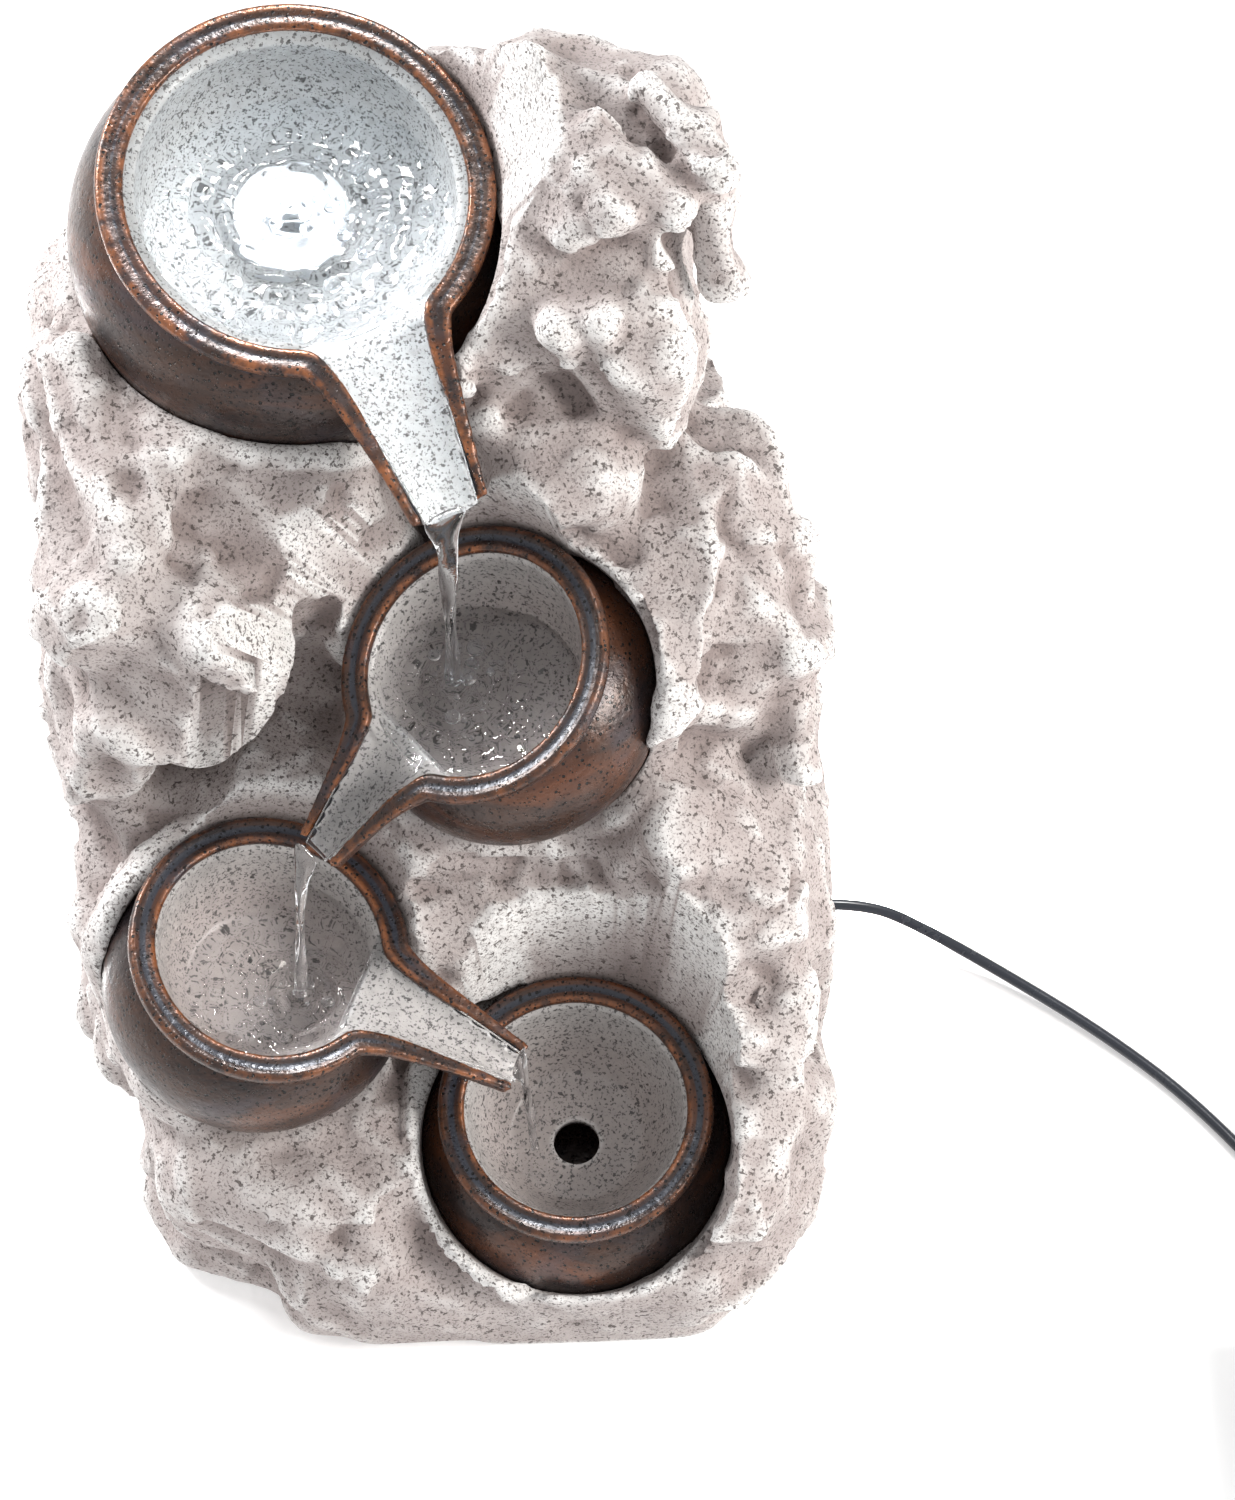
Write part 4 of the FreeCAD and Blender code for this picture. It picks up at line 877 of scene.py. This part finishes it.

# %% [markdown]
# ## Proud edges and hollows
# Glaze rubs off where a surface stands proud. On the rock the proud places are whitened, partly
# as a dry-brushed paint and partly as a painted highlight, and the sunk places are darkened as
# painted shade. A vertex is proud when its neighbours' mean lies behind it, so the mesh itself
# says where: the result is kept as an attribute of the piece, which its material reads.


# %% Proud edges and hollows as an attribute
def mark_wear_and_painted_light(obj, spread, name="wear"):
    """Writes 0 in hollows, 0.5 on flat skin and 1 on proud edges; spread is in millimetres."""
    mesh = obj.data
    places = coordinates(obj) / MM
    normals = np.empty(len(places) * 3)
    mesh.vertex_normals.foreach_get("vector", normals)
    normals = normals.reshape(-1, 3)
    edges = np.empty(len(mesh.edges) * 2, int)
    mesh.edges.foreach_get("vertices", edges)
    start, end = edges.reshape(-1, 2).T
    count = np.bincount(start, minlength=len(places)) + np.bincount(end, minlength=len(places))
    count = np.maximum(count, 1)

    def average(values):
        total = np.zeros_like(values)
        np.add.at(total, start, values[end])
        np.add.at(total, end, values[start])
        return total / (count if values.ndim == 1 else count[:, None])

    around = places
    for _ in range(6):
        around = average(around)
    proud = ((places - around) * normals).sum(1) / spread
    for _ in range(2):
        proud = (proud + average(proud)) / 2
    attribute = mesh.attributes.new(name, "FLOAT", "POINT")
    attribute.data.foreach_set("value", np.clip(proud + 0.5, 0, 1).astype(np.float32))
    return obj


# %% [markdown]
# ## Finishes: the cast rock
# The stone is cast resin, painted a pale pinkish grey. Its proud ridges are nearly white,
# partly a dry-brushed paint and partly a painted highlight; its furrows and hollows are darker
# grey-brown, which is painted shade. Dark grains of half a millimetre to two lie all over it.
# It is matt. The grains come from a cell pattern: only the middle of a cell is dark, and a
# soft noise picks the cells and bunches them.

# %% Finish: cast rock
def speckle(finish, size_mm, rarity, bunch_mm, share):
    """1 on ragged grains of about half that size, the fewer the higher the rarity."""
    spots = finish.steps(finish.cloud(size_mm, 2.5, 0.55), rarity, rarity + 0.035)
    bunches = finish.steps(finish.cloud(bunch_mm, 2), 1 - share - 0.12, 1 - share + 0.02)
    return finish.math("MULTIPLY", spots, bunches)


def pitted(finish, size_mm, grain, bunch_mm, share):
    """1 in scattered round pits: grain is their radius as a share of the size."""
    spots = finish.steps(finish.cells(size_mm), grain, grain - 0.06)
    bunches = finish.steps(finish.cloud(bunch_mm, 2), 1 - share - 0.12, 1 - share + 0.02)
    return finish.math("MULTIPLY", spots, bunches)


def make_rock_finish():
    stone = Finish("cast_rock", Roughness=0.86)
    wear = stone.attribute("wear")
    tint = stone.cloud(46, 3, 0.6)
    base = stone.mix(stone.steps(tint, 0.35, 0.68), (0.405, 0.35, 0.338), (0.515, 0.468, 0.456))
    # Darker grey-brown in the furrows and hollows: painted shade.
    base = stone.mix(stone.steps(wear, 0.46, 0.16), base, (0.25, 0.205, 0.195))
    # Nearly white on the proud ridges: partly a dry-brushed paint, partly a painted highlight.
    base = stone.mix(stone.steps(wear, 0.56, 0.90), base, (0.80, 0.785, 0.775))
    mottle = stone.steps(stone.cloud(4.5, 4, 0.65), 0.42, 0.66)
    base = stone.mix(stone.math("MULTIPLY", mottle, 0.30), base, (0.33, 0.275, 0.26))
    fine = speckle(stone, 0.72, 0.560, 7, 0.78)
    coarse = speckle(stone, 1.35, 0.600, 11, 0.66)
    base = stone.mix(stone.math("MULTIPLY", fine, 0.62), base, (0.15, 0.125, 0.12))
    base = stone.mix(stone.math("MULTIPLY", coarse, 0.85), base, (0.07, 0.055, 0.05))
    stone.set("Base Color", base)
    stone.relief(stone.cloud(9, 5, 0.6, 0.8, stone.stretched(1, 2.6, 1, (0.5, 0.6, 0.5))), 1.1, 0.6)
    stone.relief(stone.cloud(2.2, 6, 0.66), 0.6, 0.8)
    stone.relief(stone.cloud(0.8, 3, 0.6), 0.22, 0.8)
    stone.relief(coarse, -0.3, 0.5)
    stone.roughness(stone.cloud(8, 2), 0.78, 0.95)
    return stone.material


# %% [markdown]
# ## Finishes: the pots
# The pots carry a dark glaze with a bronze sheen. Copper shows where it is thin, on every
# proud edge and in broad blushes, and blue-grey lies in the hollows of the rim. Fine pits,
# dark and a little longer than wide, are sunk all over the belly. A small metallic share
# gives the satin glint of bronze.

# %% Finish: pot glaze
def make_glaze_finish():
    glaze = Finish("pot_glaze", Metallic=0.28, Specular_IOR_Level=0.55)
    wear = glaze.attribute("wear")
    flat = glaze.stretched(1, 1, 2.6)
    blush = glaze.steps(glaze.cloud(34, 4, 0.6, 0.6, flat), 0.50, 0.70)
    streak = glaze.steps(glaze.cloud(9, 4, 0.7, 0.8, flat), 0.45, 0.75)
    base = glaze.mix(glaze.steps(glaze.cloud(26, 3), 0.35, 0.65), (0.020, 0.013, 0.013),
                     (0.050, 0.026, 0.018))
    base = glaze.mix(glaze.math("MULTIPLY", blush, 0.62), base, (0.17, 0.055, 0.020))
    base = glaze.mix(glaze.math("MULTIPLY", streak, 0.35), base, (0.11, 0.045, 0.022))
    cool = glaze.steps(glaze.cloud(20, 3, 0.6, 0.4), 0.52, 0.74)
    base = glaze.mix(glaze.math("MULTIPLY", cool, 0.55), base, (0.058, 0.052, 0.068))
    base = glaze.mix(glaze.steps(wear, 0.49, 0.40), base, (0.035, 0.038, 0.050))
    rubbed = glaze.math("MULTIPLY", glaze.steps(wear, 0.66, 0.92),
                        glaze.steps(glaze.cloud(6, 4, 0.7), 0.40, 0.62))
    base = glaze.mix(glaze.math("MULTIPLY", rubbed, 0.85), base, (0.30, 0.105, 0.038))
    pits = pitted(glaze, 1.9, 0.24, 12, 0.62)
    fine_pits = pitted(glaze, 1.1, 0.26, 7, 0.60)
    base = glaze.mix(pits, base, (0.006, 0.005, 0.005))
    base = glaze.mix(glaze.math("MULTIPLY", fine_pits, 0.8), base, (0.01, 0.008, 0.008))
    glaze.set("Base Color", base)
    glaze.relief(glaze.cloud(6, 4, 0.6), 0.4, 0.6)
    glaze.relief(glaze.cloud(1.5, 3), 0.16, 0.7)
    glaze.relief(pits, -0.35, 0.9)
    glaze.relief(fine_pits, -0.2, 0.8)
    glaze.roughness(glaze.steps(glaze.cloud(5, 4, 0.7), 0.3, 0.7), 0.20, 0.42)
    return glaze.material


# %% [markdown]
# ## Finishes: the stone liners
# The bowls and the spouts' beds are pale stone, bluish on the spouts and pinkish in the
# bowls, with dark grains that lie closer than on the rock. They are wet, so they shine.
# Towards the floor the lower bowls turn darker and pinker, which is painted shade. The top
# bowl's stone is a lighter, cooler copy that grows lighter still towards its floor: painted
# light of the LEDs in that bowl.

# %% Finish: stone liner
def make_liner_finish(name, pale, deep, grain):
    liner = Finish(name)
    wear = liner.attribute("wear")
    sunk = liner.attribute("sunk")
    base = liner.mix(liner.steps(liner.cloud(18, 3, 0.6), 0.35, 0.7), pale,
                     tuple(0.86 * part for part in pale))
    # Towards the floor the colour turns to deep: darker and pinker in the lower bowls, painted shade;
    # lighter and cooler in the top bowl, painted light of its LEDs.
    base = liner.mix(liner.math("MULTIPLY", sunk, 0.9), base, deep)
    mottle = liner.steps(liner.cloud(3.2, 4, 0.7), 0.45, 0.68)
    base = liner.mix(liner.math("MULTIPLY", mottle, 0.35), base, (0.24, 0.22, 0.215))
    base = liner.mix(liner.math("MULTIPLY", liner.steps(wear, 0.60, 0.95), 0.5), base,
                     (0.68, 0.67, 0.66))
    fine = speckle(liner, 0.78, 0.570, 6, 0.78)
    coarse = speckle(liner, 1.45, 0.61, 9, 0.66)
    base = liner.mix(liner.math("MULTIPLY", fine, grain), base, (0.10, 0.095, 0.095))
    base = liner.mix(liner.math("MULTIPLY", coarse, grain), base, (0.045, 0.042, 0.042))
    liner.set("Base Color", base)
    liner.relief(liner.cloud(2.6, 5, 0.6), 0.35, 0.5)
    liner.relief(coarse, -0.15, 0.5)
    liner.roughness(liner.steps(liner.cloud(12, 3), 0.35, 0.65), 0.22, 0.5)
    return liner.material


# %% [markdown]
# ## Finishes: what the rock hides
# The plate, the basin, the pump and the door are plain mouldings. They still get their own
# finish, because the door can be pulled out and the object can be turned over: moulded
# plastic has a fine spark-eroded grain and a soft variation in its gloss, rubber is duller
# and a little dusty, and turned metal has a fine brushed grain.

# %% Finishes: plastic, rubber, metal, glass and light
def moulded(name, colour, rough=0.42, grain_mm=0.5, depth=0.05):
    plastic = Finish(name, Specular_IOR_Level=0.45)
    shade = plastic.steps(plastic.cloud(22, 3), 0.3, 0.7)
    plastic.set("Base Color", plastic.mix(shade, colour, tuple(0.86 * c for c in colour)))
    plastic.relief(plastic.cloud(grain_mm, 2), depth, 0.8)
    plastic.roughness(plastic.cloud(6, 4, 0.6), rough - 0.08, rough + 0.12)
    return plastic.material


def rubbery(name, colour):
    rubber = Finish(name, Specular_IOR_Level=0.3)
    dust = rubber.steps(rubber.cloud(5, 5, 0.7), 0.5, 0.8)
    rubber.set("Base Color", rubber.mix(rubber.math("MULTIPLY", dust, 0.25), colour,
                                        (0.22, 0.21, 0.20)))
    rubber.relief(rubber.cloud(0.9, 3), 0.06, 0.7)
    rubber.roughness(rubber.cloud(3, 3), 0.55, 0.8)
    return rubber.material


def metallic(name, colour, rough=0.3, grain=(1, 1, 14)):
    metal = Finish(name, Metallic=1.0)
    brushed = metal.cloud(1.2, 4, 0.6, 0.0, metal.stretched(*grain))
    metal.set("Base Color", metal.mix(metal.steps(brushed, 0.3, 0.7), colour,
                                      tuple(0.8 * c for c in colour)))
    metal.relief(brushed, 0.03, 0.6)
    metal.roughness(brushed, rough - 0.06, rough + 0.14)
    return metal.material


def let_light_through(finish, tint=(1, 1, 1)):
    """Shadow rays pass straight through, so that what lies under glass or water is lit."""
    path = finish.add("ShaderNodeLightPath")
    clear = finish.add("ShaderNodeBsdfTransparent")
    clear.inputs["Color"].default_value = (*tint, 1)
    mix = finish.add("ShaderNodeMixShader")
    finish.link(path.outputs["Is Shadow Ray"], mix.inputs[0])
    finish.link(finish.shader.outputs["BSDF"], mix.inputs[1])
    finish.link(clear.outputs["BSDF"], mix.inputs[2])
    finish.link(mix.outputs["Shader"], finish.output.inputs["Surface"])
    return finish


def make_water_finish():
    water = Finish("water", Transmission_Weight=1.0, Roughness=0.0, IOR=1.33)
    water.set("Base Color", (0.97, 0.985, 1.0))
    water.relief(water.cloud(5, 3, 0.6, 0.5), 0.35, 0.5)
    return let_light_through(water).material


def make_lens_finish():
    lens = Finish("clear_lens", Transmission_Weight=1.0, Roughness=0.22, IOR=1.46)
    lens.set("Base Color", (0.95, 0.98, 1.0))
    lens.set("Emission Color", (0.86, 0.94, 1.0))
    lens.set("Emission Strength", LENS_GLOW)
    lens.relief(lens.cloud(1.4, 2), 0.05, 0.5)
    return let_light_through(lens).material


def make_lit_finish():
    """White plastic with a faint cool glow, a painted light of the LEDs: on their housing and on the
    jet's nozzle.
    """
    lit = Finish("lit_plastic", Roughness=0.3)
    lit.set("Base Color", lit.mix(lit.cloud(4, 3), (0.52, 0.54, 0.56), (0.46, 0.48, 0.51)))
    # A faint glow painted on, for the LEDs' light on the housing and the nozzle.
    lit.set("Emission Color", (0.82, 0.92, 1.0))
    lit.set("Emission Strength", 0.05)
    return lit.material


def make_chip_finish():
    chip = Finish("light_chip", Roughness=0.3)
    chip.set("Base Color", chip.mix(chip.cloud(0.8, 2), (0.95, 0.93, 0.7), (0.98, 0.98, 0.9)))
    chip.set("Emission Color", (0.9, 0.96, 1.0))
    chip.set("Emission Strength", CHIP_GLOW)
    return chip.material


LENS_GLOW, CHIP_GLOW = 0.02, 34.0
FINISHES = {
    "black_plastic": moulded("black_plastic", (0.022, 0.022, 0.024)),
    "grey_plastic": moulded("grey_plastic", (0.16, 0.165, 0.17), 0.45),
    "white_plastic": moulded("white_plastic", (0.74, 0.75, 0.75), 0.35),
    "adapter_black": moulded("adapter_black", (0.018, 0.018, 0.02), 0.38, 0.8, 0.08),
    "board_white": moulded("board_white", (0.50, 0.53, 0.57), 0.3),
    "soft_rubber": rubbery("soft_rubber", (0.03, 0.03, 0.032)),
    "cord_jacket": moulded("cord_jacket", (0.022, 0.026, 0.036), 0.24, 1.2, 0.03),
    "screw_steel": metallic("screw_steel", (0.60, 0.60, 0.61), 0.28),
    "core_steel": metallic("core_steel", (0.42, 0.43, 0.45), 0.4, (1, 12, 1)),
    "pin_brass": metallic("pin_brass", (0.78, 0.60, 0.30), 0.25, (1, 14, 1)),
    "winding": metallic("winding", (0.72, 0.32, 0.14), 0.3, (1, 18, 1)),
    "magnet": metallic("magnet", (0.10, 0.10, 0.11), 0.5, (1, 1, 1)),
    "hose_vinyl": moulded("hose_vinyl", (0.55, 0.58, 0.58), 0.2),
    "clear_lens": make_lens_finish(),
    "lit_plastic": make_lit_finish(),
    "light_chip": make_chip_finish(),
    "cast_rock": make_rock_finish(),
    "pot_glaze": make_glaze_finish(),
    # The lower bowls' stone: darker and pinker towards the floor, painted shade.
    "stone_liner": make_liner_finish("stone_liner", (0.47, 0.45, 0.44), (0.40, 0.352, 0.338), 0.85),
}
# The top bowl's stone: a lighter, cooler copy, painted light of the LEDs in it.
LED_LIT_STONE = make_liner_finish("led_lit_stone", (0.43, 0.45, 0.46), (0.52, 0.535, 0.54), 0.85)
WATER = make_water_finish()

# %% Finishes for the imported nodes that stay
slot_of = {part["node"]: part["material_slot"] for part in frame["record"]["subparts"]}
for node, obj in frame["nodes"].items():
    obj.data.materials.clear()
    # The LEDs' housing and the jet's nozzle take the plastic with a painted glow.
    lit = node in ("light_housing", "water_nozzle")
    obj.data.materials.append(FINISHES["lit_plastic" if lit else slot_of[node]])
print(len(FINISHES), "finishes for", len(slot_of), "packed nodes")

# %% [markdown]
# ## Setting the rock and the pots in place
# With the helpers and finishes ready, the big pieces are made in turn. Each one replaces
# the plain node that holds its place.

# %% The rock
rock = open_rock(cast_rock())
smooth(rock)
mark_wear_and_painted_light(rock, 2.1)
finish(rock, "cast_rock", FINISHES["cast_rock"])
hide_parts("rock_shell")
print("the rock has", len(rock.data.polygons), "faces")


# %% The pots and their liners
def drain_hole(stone, pot):
    """The hole in the lowest bowl's floor, where the water runs back."""
    clear_selection()
    bpy.ops.mesh.primitive_cylinder_add(vertices=64, radius=5.9 * MM, depth=24 * MM,
                                        location=(0, -1.5 * MM, -pot.deep * MM))
    return boolean(stone, apply_place(bpy.context.object), "DIFFERENCE")


def mark_sunk(obj, pot):
    """How deep each point lies in the bowl: 0 at the lip, 1 on the floor."""
    depth = -coordinates(obj)[:, 2] / MM
    attribute = obj.data.attributes.new("sunk", "FLOAT", "POINT")
    share = np.clip((depth - 4) / (pot.deep * 0.6), 0, 1)
    attribute.data.foreach_set("value", share.astype(np.float32))
    return obj


for pot in POTS:
    clay = throw_pot(pot)
    smooth(clay)
    mark_wear_and_painted_light(clay, 0.75)
    finish(stand(clay, pot), "pot_glaze", FINISHES["pot_glaze"])
    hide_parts(pot.name + "_body")
    stone = carve_liner(pot)
    if pot is BOTTOM_POT:
        drain_hole(stone, pot)
    smooth(stone)
    mark_wear_and_painted_light(stone, 0.9)
    mark_sunk(stone, pot)
    finish(stand(stone, pot), "stone_liner",
           LED_LIT_STONE if pot is TOP_POT else FINISHES["stone_liner"])
    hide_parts(pot.name + "_liner")
    print(pot.name, len(clay.data.polygons), len(stone.data.polygons), "faces")

# %% [markdown]
# ## Water
# Three bowls stand full. Water is a body and not a sheet, so that light bends through it:
# the bowl's hollow, filled to a level top that carries ripples. The ripples are rings round
# the place where the jet or the stream comes in, fading outwards, over a small chop.

# %% Water: the pools
RIPPLE = 0.8   # height of the ripples in millimetres
SOAK = 0.5     # how far the water reaches into the stone, so that no air shows between them


def bowl_form(pot):
    """The hollow of a bowl and of its spout's root, as a solid."""
    lip, side = (3.2, 6.5) if pot is TOP_POT else (0.8, 4.8)
    profile = [(0, -pot.deep - SOAK)]
    profile += arc((pot.floor - 1 + SOAK, -pot.deep - SOAK),
                   (pot.mouth - side + SOAK, -pot.deep * 0.62), (pot.mouth - lip + SOAK, -2.2), 14)
    profile += [(pot.mouth, 12), (0, 12)]
    return turned("bowl", profile, 96)


def water_block(pot, entry):
    """A block whose top is the water's level, with ripples round the entry."""
    clear_selection()
    centre = pot.matrix.translation / MM
    half = pot.belly + 14
    bpy.ops.mesh.primitive_grid_add(x_subdivisions=150, y_subdivisions=150, size=2 * half * MM,
                                    location=(centre.x * MM, centre.y * MM, pot.level * MM))
    obj = apply_place(bpy.context.object)
    places = coordinates(obj)
    away = np.hypot(places[:, 0] - entry[0] * MM, places[:, 1] - entry[1] * MM) / MM
    rings = np.sin(away * 1.25) * np.exp(-away / 11)
    chop = np.array([noise.noise(Vector(place) / (3.2 * MM)) for place in places])
    swell = np.array([noise.noise(Vector(place) / (9 * MM)) for place in places])
    places[:, 2] += (RIPPLE * (1.8 * rings + 1.9 * chop * np.exp(-away / 26) + 0.5 * swell)) * MM
    set_coordinates(obj, places)
    only(obj)
    bpy.ops.object.mode_set(mode="EDIT")
    bpy.ops.mesh.select_all(action="SELECT")
    bpy.ops.mesh.extrude_region_move(TRANSFORM_OT_translate={"value": (0, 0, -80 * MM)})
    bpy.ops.mesh.select_all(action="SELECT")
    bpy.ops.mesh.normals_make_consistent(inside=False)
    bpy.ops.object.mode_set(mode="OBJECT")
    return obj


def pool(pot, entry):
    body = stand(bowl_form(pot), pot)
    body.name = pot.name + "_water"
    boolean(body, water_block(pot, entry), "INTERSECT", solver="MANIFOLD")
    smooth(body, 40)
    return finish(body, "clear_lens", WATER)


# %% [markdown]
# ## Water: films and streams
# From each bowl a thin film runs down the spout's bed, and falls from its tip. A stream is
# wide and flat at the lip, draws together as it speeds up, and twists. It is modelled as
# one ring of points, extruded again and again along the fall and turned a little each time.

# %% Water: films on the spouts' beds
def film(pot):
    """A thin sheet of water on the bed, thinner towards the tip."""
    bed = trough_height(pot, 4.2, -0.9)
    sheet = slab(pot.name + "_film", pot, pot.mouth - 5, pot.reach + 0.6,
                 lambda x: pot.half_width(x) - 2.5, bed, 1.3)
    modify(sheet, "SUBSURF", levels=1, render_levels=1)
    waves = [vertex.co / MM for vertex in sheet.data.vertices]
    for vertex, place in zip(sheet.data.vertices, waves):
        if place.z > bed(place.x, 0):
            vertex.co.z += 0.35 * noise.noise(Vector((place.x / 7, place.y / 2.4, 4.0))) * MM
    smooth(sheet)
    return finish(stand(sheet, pot), "clear_lens", WATER)


# %% Water: streams (start, end, width and thickness at the lip, radius below, turns)
STREAMS = {
    "top_stream": ((5.2, 0.5, 203), (5.5, -11, 145.5), 11, 2.4, 2.1, 1.4, TOP_POT),
    "second_stream": ((-29.5, -50.5, 134.0), (-33, -69, 92.5), 8, 1.8, 1.6, 1.1, POTS[1]),
    "third_stream": ((20.5, -83.5, 86.5), (24, -86.5, 40), 9, 1.3, 1.2, 0.6, POTS[2]),
}
RING_POINTS = 20


def stream(name, start, end, width, thick, radius, turns, pot):
    """Lofts the stream from its lip to where it meets the water."""
    low, high = Vector(end), Vector(start)
    out = (pot.matrix.to_3x3() @ Vector((1, 0, 0))).normalized()
    side = out.cross(Vector((0, 0, 1))).normalized()
    rings, verts, faces = 36, [], []
    for step in range(rings + 1):
        share = step / rings
        middle = Vector((high.x + (low.x - high.x) * share ** 0.6,
                         high.y + (low.y - high.y) * share ** 0.6,
                         high.z + (low.z - high.z) * share ** 1.25))
        drawn = min(1.0, share * 2.6)
        wobble = 1 + 0.30 * noise.noise(Vector((share * 9, radius, 3.3)))
        wide = (width / 2 * (1 - drawn) ** 1.5 + radius * drawn) * wobble
        flat = thick / 2 * (1 - drawn) + radius * 0.62 * drawn
        turn = turns * math.pi * max(0.0, share - 0.25)
        for i in range(RING_POINTS):
            angle = 2 * math.pi * i / RING_POINTS
            ripple = 1 + 0.22 * math.sin(3 * angle + share * 17) * drawn
            x, y = wide * math.cos(angle) * ripple, flat * math.sin(angle) * ripple
            across = side * (x * math.cos(turn) - y * math.sin(turn))
            along = side.cross(Vector((0, 0, 1))) * (x * math.sin(turn) + y * math.cos(turn))
            verts.append((middle + across + along) * MM)
    for step in range(rings):
        for i in range(RING_POINTS):
            j = (i + 1) % RING_POINTS
            a, b = step * RING_POINTS, (step + 1) * RING_POINTS
            faces.append((a + i, a + j, b + j, b + i))
    faces.append(tuple(range(RING_POINTS)))
    faces.append(tuple(rings * RING_POINTS + i for i in range(RING_POINTS)))
    mesh = bpy.data.meshes.new(name)
    mesh.from_pydata(verts, [], faces)
    obj = bpy.data.objects.new(name, mesh)
    bpy.context.scene.collection.objects.link(obj)
    only(obj)
    bpy.ops.object.mode_set(mode="EDIT")
    bpy.ops.mesh.select_all(action="SELECT")
    bpy.ops.mesh.normals_make_consistent(inside=False)
    bpy.ops.object.mode_set(mode="OBJECT")
    modify(obj, "SUBSURF", levels=1, render_levels=1)
    smooth(obj)
    return finish(obj, "clear_lens", WATER)


# %% Water: bubbles, each a dome that floats on the pool
# From the middle below to the middle on top, as shares of the radius.
DOME = [(0, -0.30), (0.62, -0.24), (0.93, -0.08), (1.0, 0.10), (0.93, 0.38), (0.70, 0.66),
        (0.38, 0.84), (0, 0.90)]


def bubbles(name, pot, entry, count, spread, seed):
    """Domes of half a millimetre to two and a half, closest round the entry."""
    random = np.random.default_rng(seed)
    domes = []
    for index in range(count):
        radius = 0.5 + 2.0 * random.random() ** 2.4
        away, angle = spread * random.random() ** 0.7, 2 * math.pi * random.random()
        place = Vector((entry[0] + away * math.cos(angle), entry[1] + away * math.sin(angle),
                        pot.level + 0.1))
        dome = turned("dome", [(across * radius, high * radius) for across, high in DOME], 16)
        dome.data.transform(Matrix.Translation(place * MM))
        domes.append(dome)
    cluster = join(name, domes)
    smooth(cluster)
    return finish(cluster, "clear_lens", WATER)


# %% Water: all of it
JET = (POTS[0].matrix @ Vector((0, 0, -20 * MM))) / MM
ENTRIES = {"top_pot": (JET.x, JET.y), "second_pot": (5.5, -11), "third_pot": (-33, -69)}
for pot in POTS[:3]:
    pool(pot, ENTRIES[pot.name])
    film(pot)
for name, values in STREAMS.items():
    stream(name, *values)
bubbles("top_bubbles", POTS[0], (JET.x + 14, JET.y - 4), 34, 20, 5)
bubbles("second_bubbles", POTS[1], (11, -12), 30, 15, 8)
bubbles("third_bubbles", POTS[2], (-34, -70), 9, 12, 11)

# %% [markdown]
# ## The cord's jacket and its tie
# The two-core lead has a glossy dark jacket. Its spare length is held by a tie of the same
# soft vinyl.

# %% The cord: finish and tie
clear_selection()
bpy.ops.mesh.primitive_torus_add(major_segments=48, minor_segments=12, major_radius=7.4 * MM,
                                 minor_radius=1.0 * MM, rotation=(math.pi / 2, 0, 0),
                                 location=(coil_centre.x + COIL_TURN * MM, coil_centre.y,
                                           6.9 * MM))
tie = apply_place(bpy.context.object)
tie.name = "cord_tie"
places = coordinates(tie)
places[:, 2] = np.maximum(places[:, 2], 0.05 * MM)
set_coordinates(tie, places)
modify(tie, "SUBSURF", levels=1, render_levels=1)
smooth(tie)
finish(tie, "cord_jacket", FINISHES["cord_jacket"])
power_lead.data.materials.append(FINISHES["cord_jacket"])
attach(power_lead, BODY)
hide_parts("power_cord", "cord_coil", "cord_tail")

# %% [markdown]
# ## The studio
# A glossy white table under a bright, even sky, so that the object stands on white with only
# a breath of a reflection. One large soft lamp stands high on the left and behind, and a
# weaker one low on the right, which puts the satin glint on the bellies.

# %% Studio: table, sky, lamps
clear_selection()
bpy.ops.mesh.primitive_plane_add(size=6)
table = bpy.context.object
table.name = "table"
top = Finish("table_white", Roughness=0.12, Specular_IOR_Level=0.5)
top.set("Base Color", top.mix(top.cloud(900, 1), (0.96, 0.96, 0.965), (0.99, 0.99, 0.99)))
mirror = top.add("ShaderNodeBsdfGlossy")
mirror.inputs["Roughness"].default_value = 0.03
shine = top.add("ShaderNodeMixShader")
shine.inputs[0].default_value = 0.16
top.link(top.shader.outputs["BSDF"], shine.inputs[1])
top.link(mirror.outputs["BSDF"], shine.inputs[2])
top.link(shine.outputs["Shader"], top.output.inputs["Surface"])
table.data.materials.append(top.material)

SKY, TABLE_GLOW = 0.78, 0.34
top.set("Emission Color", (1.0, 1.0, 1.0))
top.set("Emission Strength", TABLE_GLOW)
world = bpy.data.worlds.new("sky")
bpy.context.scene.world = world
world.use_nodes = True
world.node_tree.nodes["Background"].inputs["Color"].default_value = (1, 1, 1, 1)
world.node_tree.nodes["Background"].inputs["Strength"].default_value = SKY


def lamp(name, place, target, size, watts, colour=(1, 1, 1)):
    data = bpy.data.lights.new(name, "AREA")
    data.size, data.energy, data.color = size, watts, colour
    obj = bpy.data.objects.new(name, data)
    obj.location = place
    aim = Vector(target) - Vector(place)
    obj.rotation_euler = aim.to_track_quat("-Z", "Y").to_euler()
    bpy.context.scene.collection.objects.link(obj)


lamp("key", (-0.62, 0.38, 0.58), (0, 0, 0.12), 0.26, 9.5)
lamp("side", (0.75, -0.25, 0.55), (0, 0, 0.10), 0.35, 8, (1.0, 0.97, 0.93))
lamp("glint", (0.12, 0.60, 1.02), (0, -0.02, 0.12), 0.24, 20)
bpy.data.objects["glint"].visible_diffuse = False
glow = JET * MM + Vector((0, 0, 0.016))
lamp("pool_light", tuple(glow), tuple(glow - Vector((0, 0, 1))), 0.03, 0.009, (0.90, 0.96, 1.0))
bpy.data.objects["pool_light"].visible_camera = False
bpy.context.scene.view_settings.view_transform = "Standard"

# %% The end
bpy.context.view_layer.update()
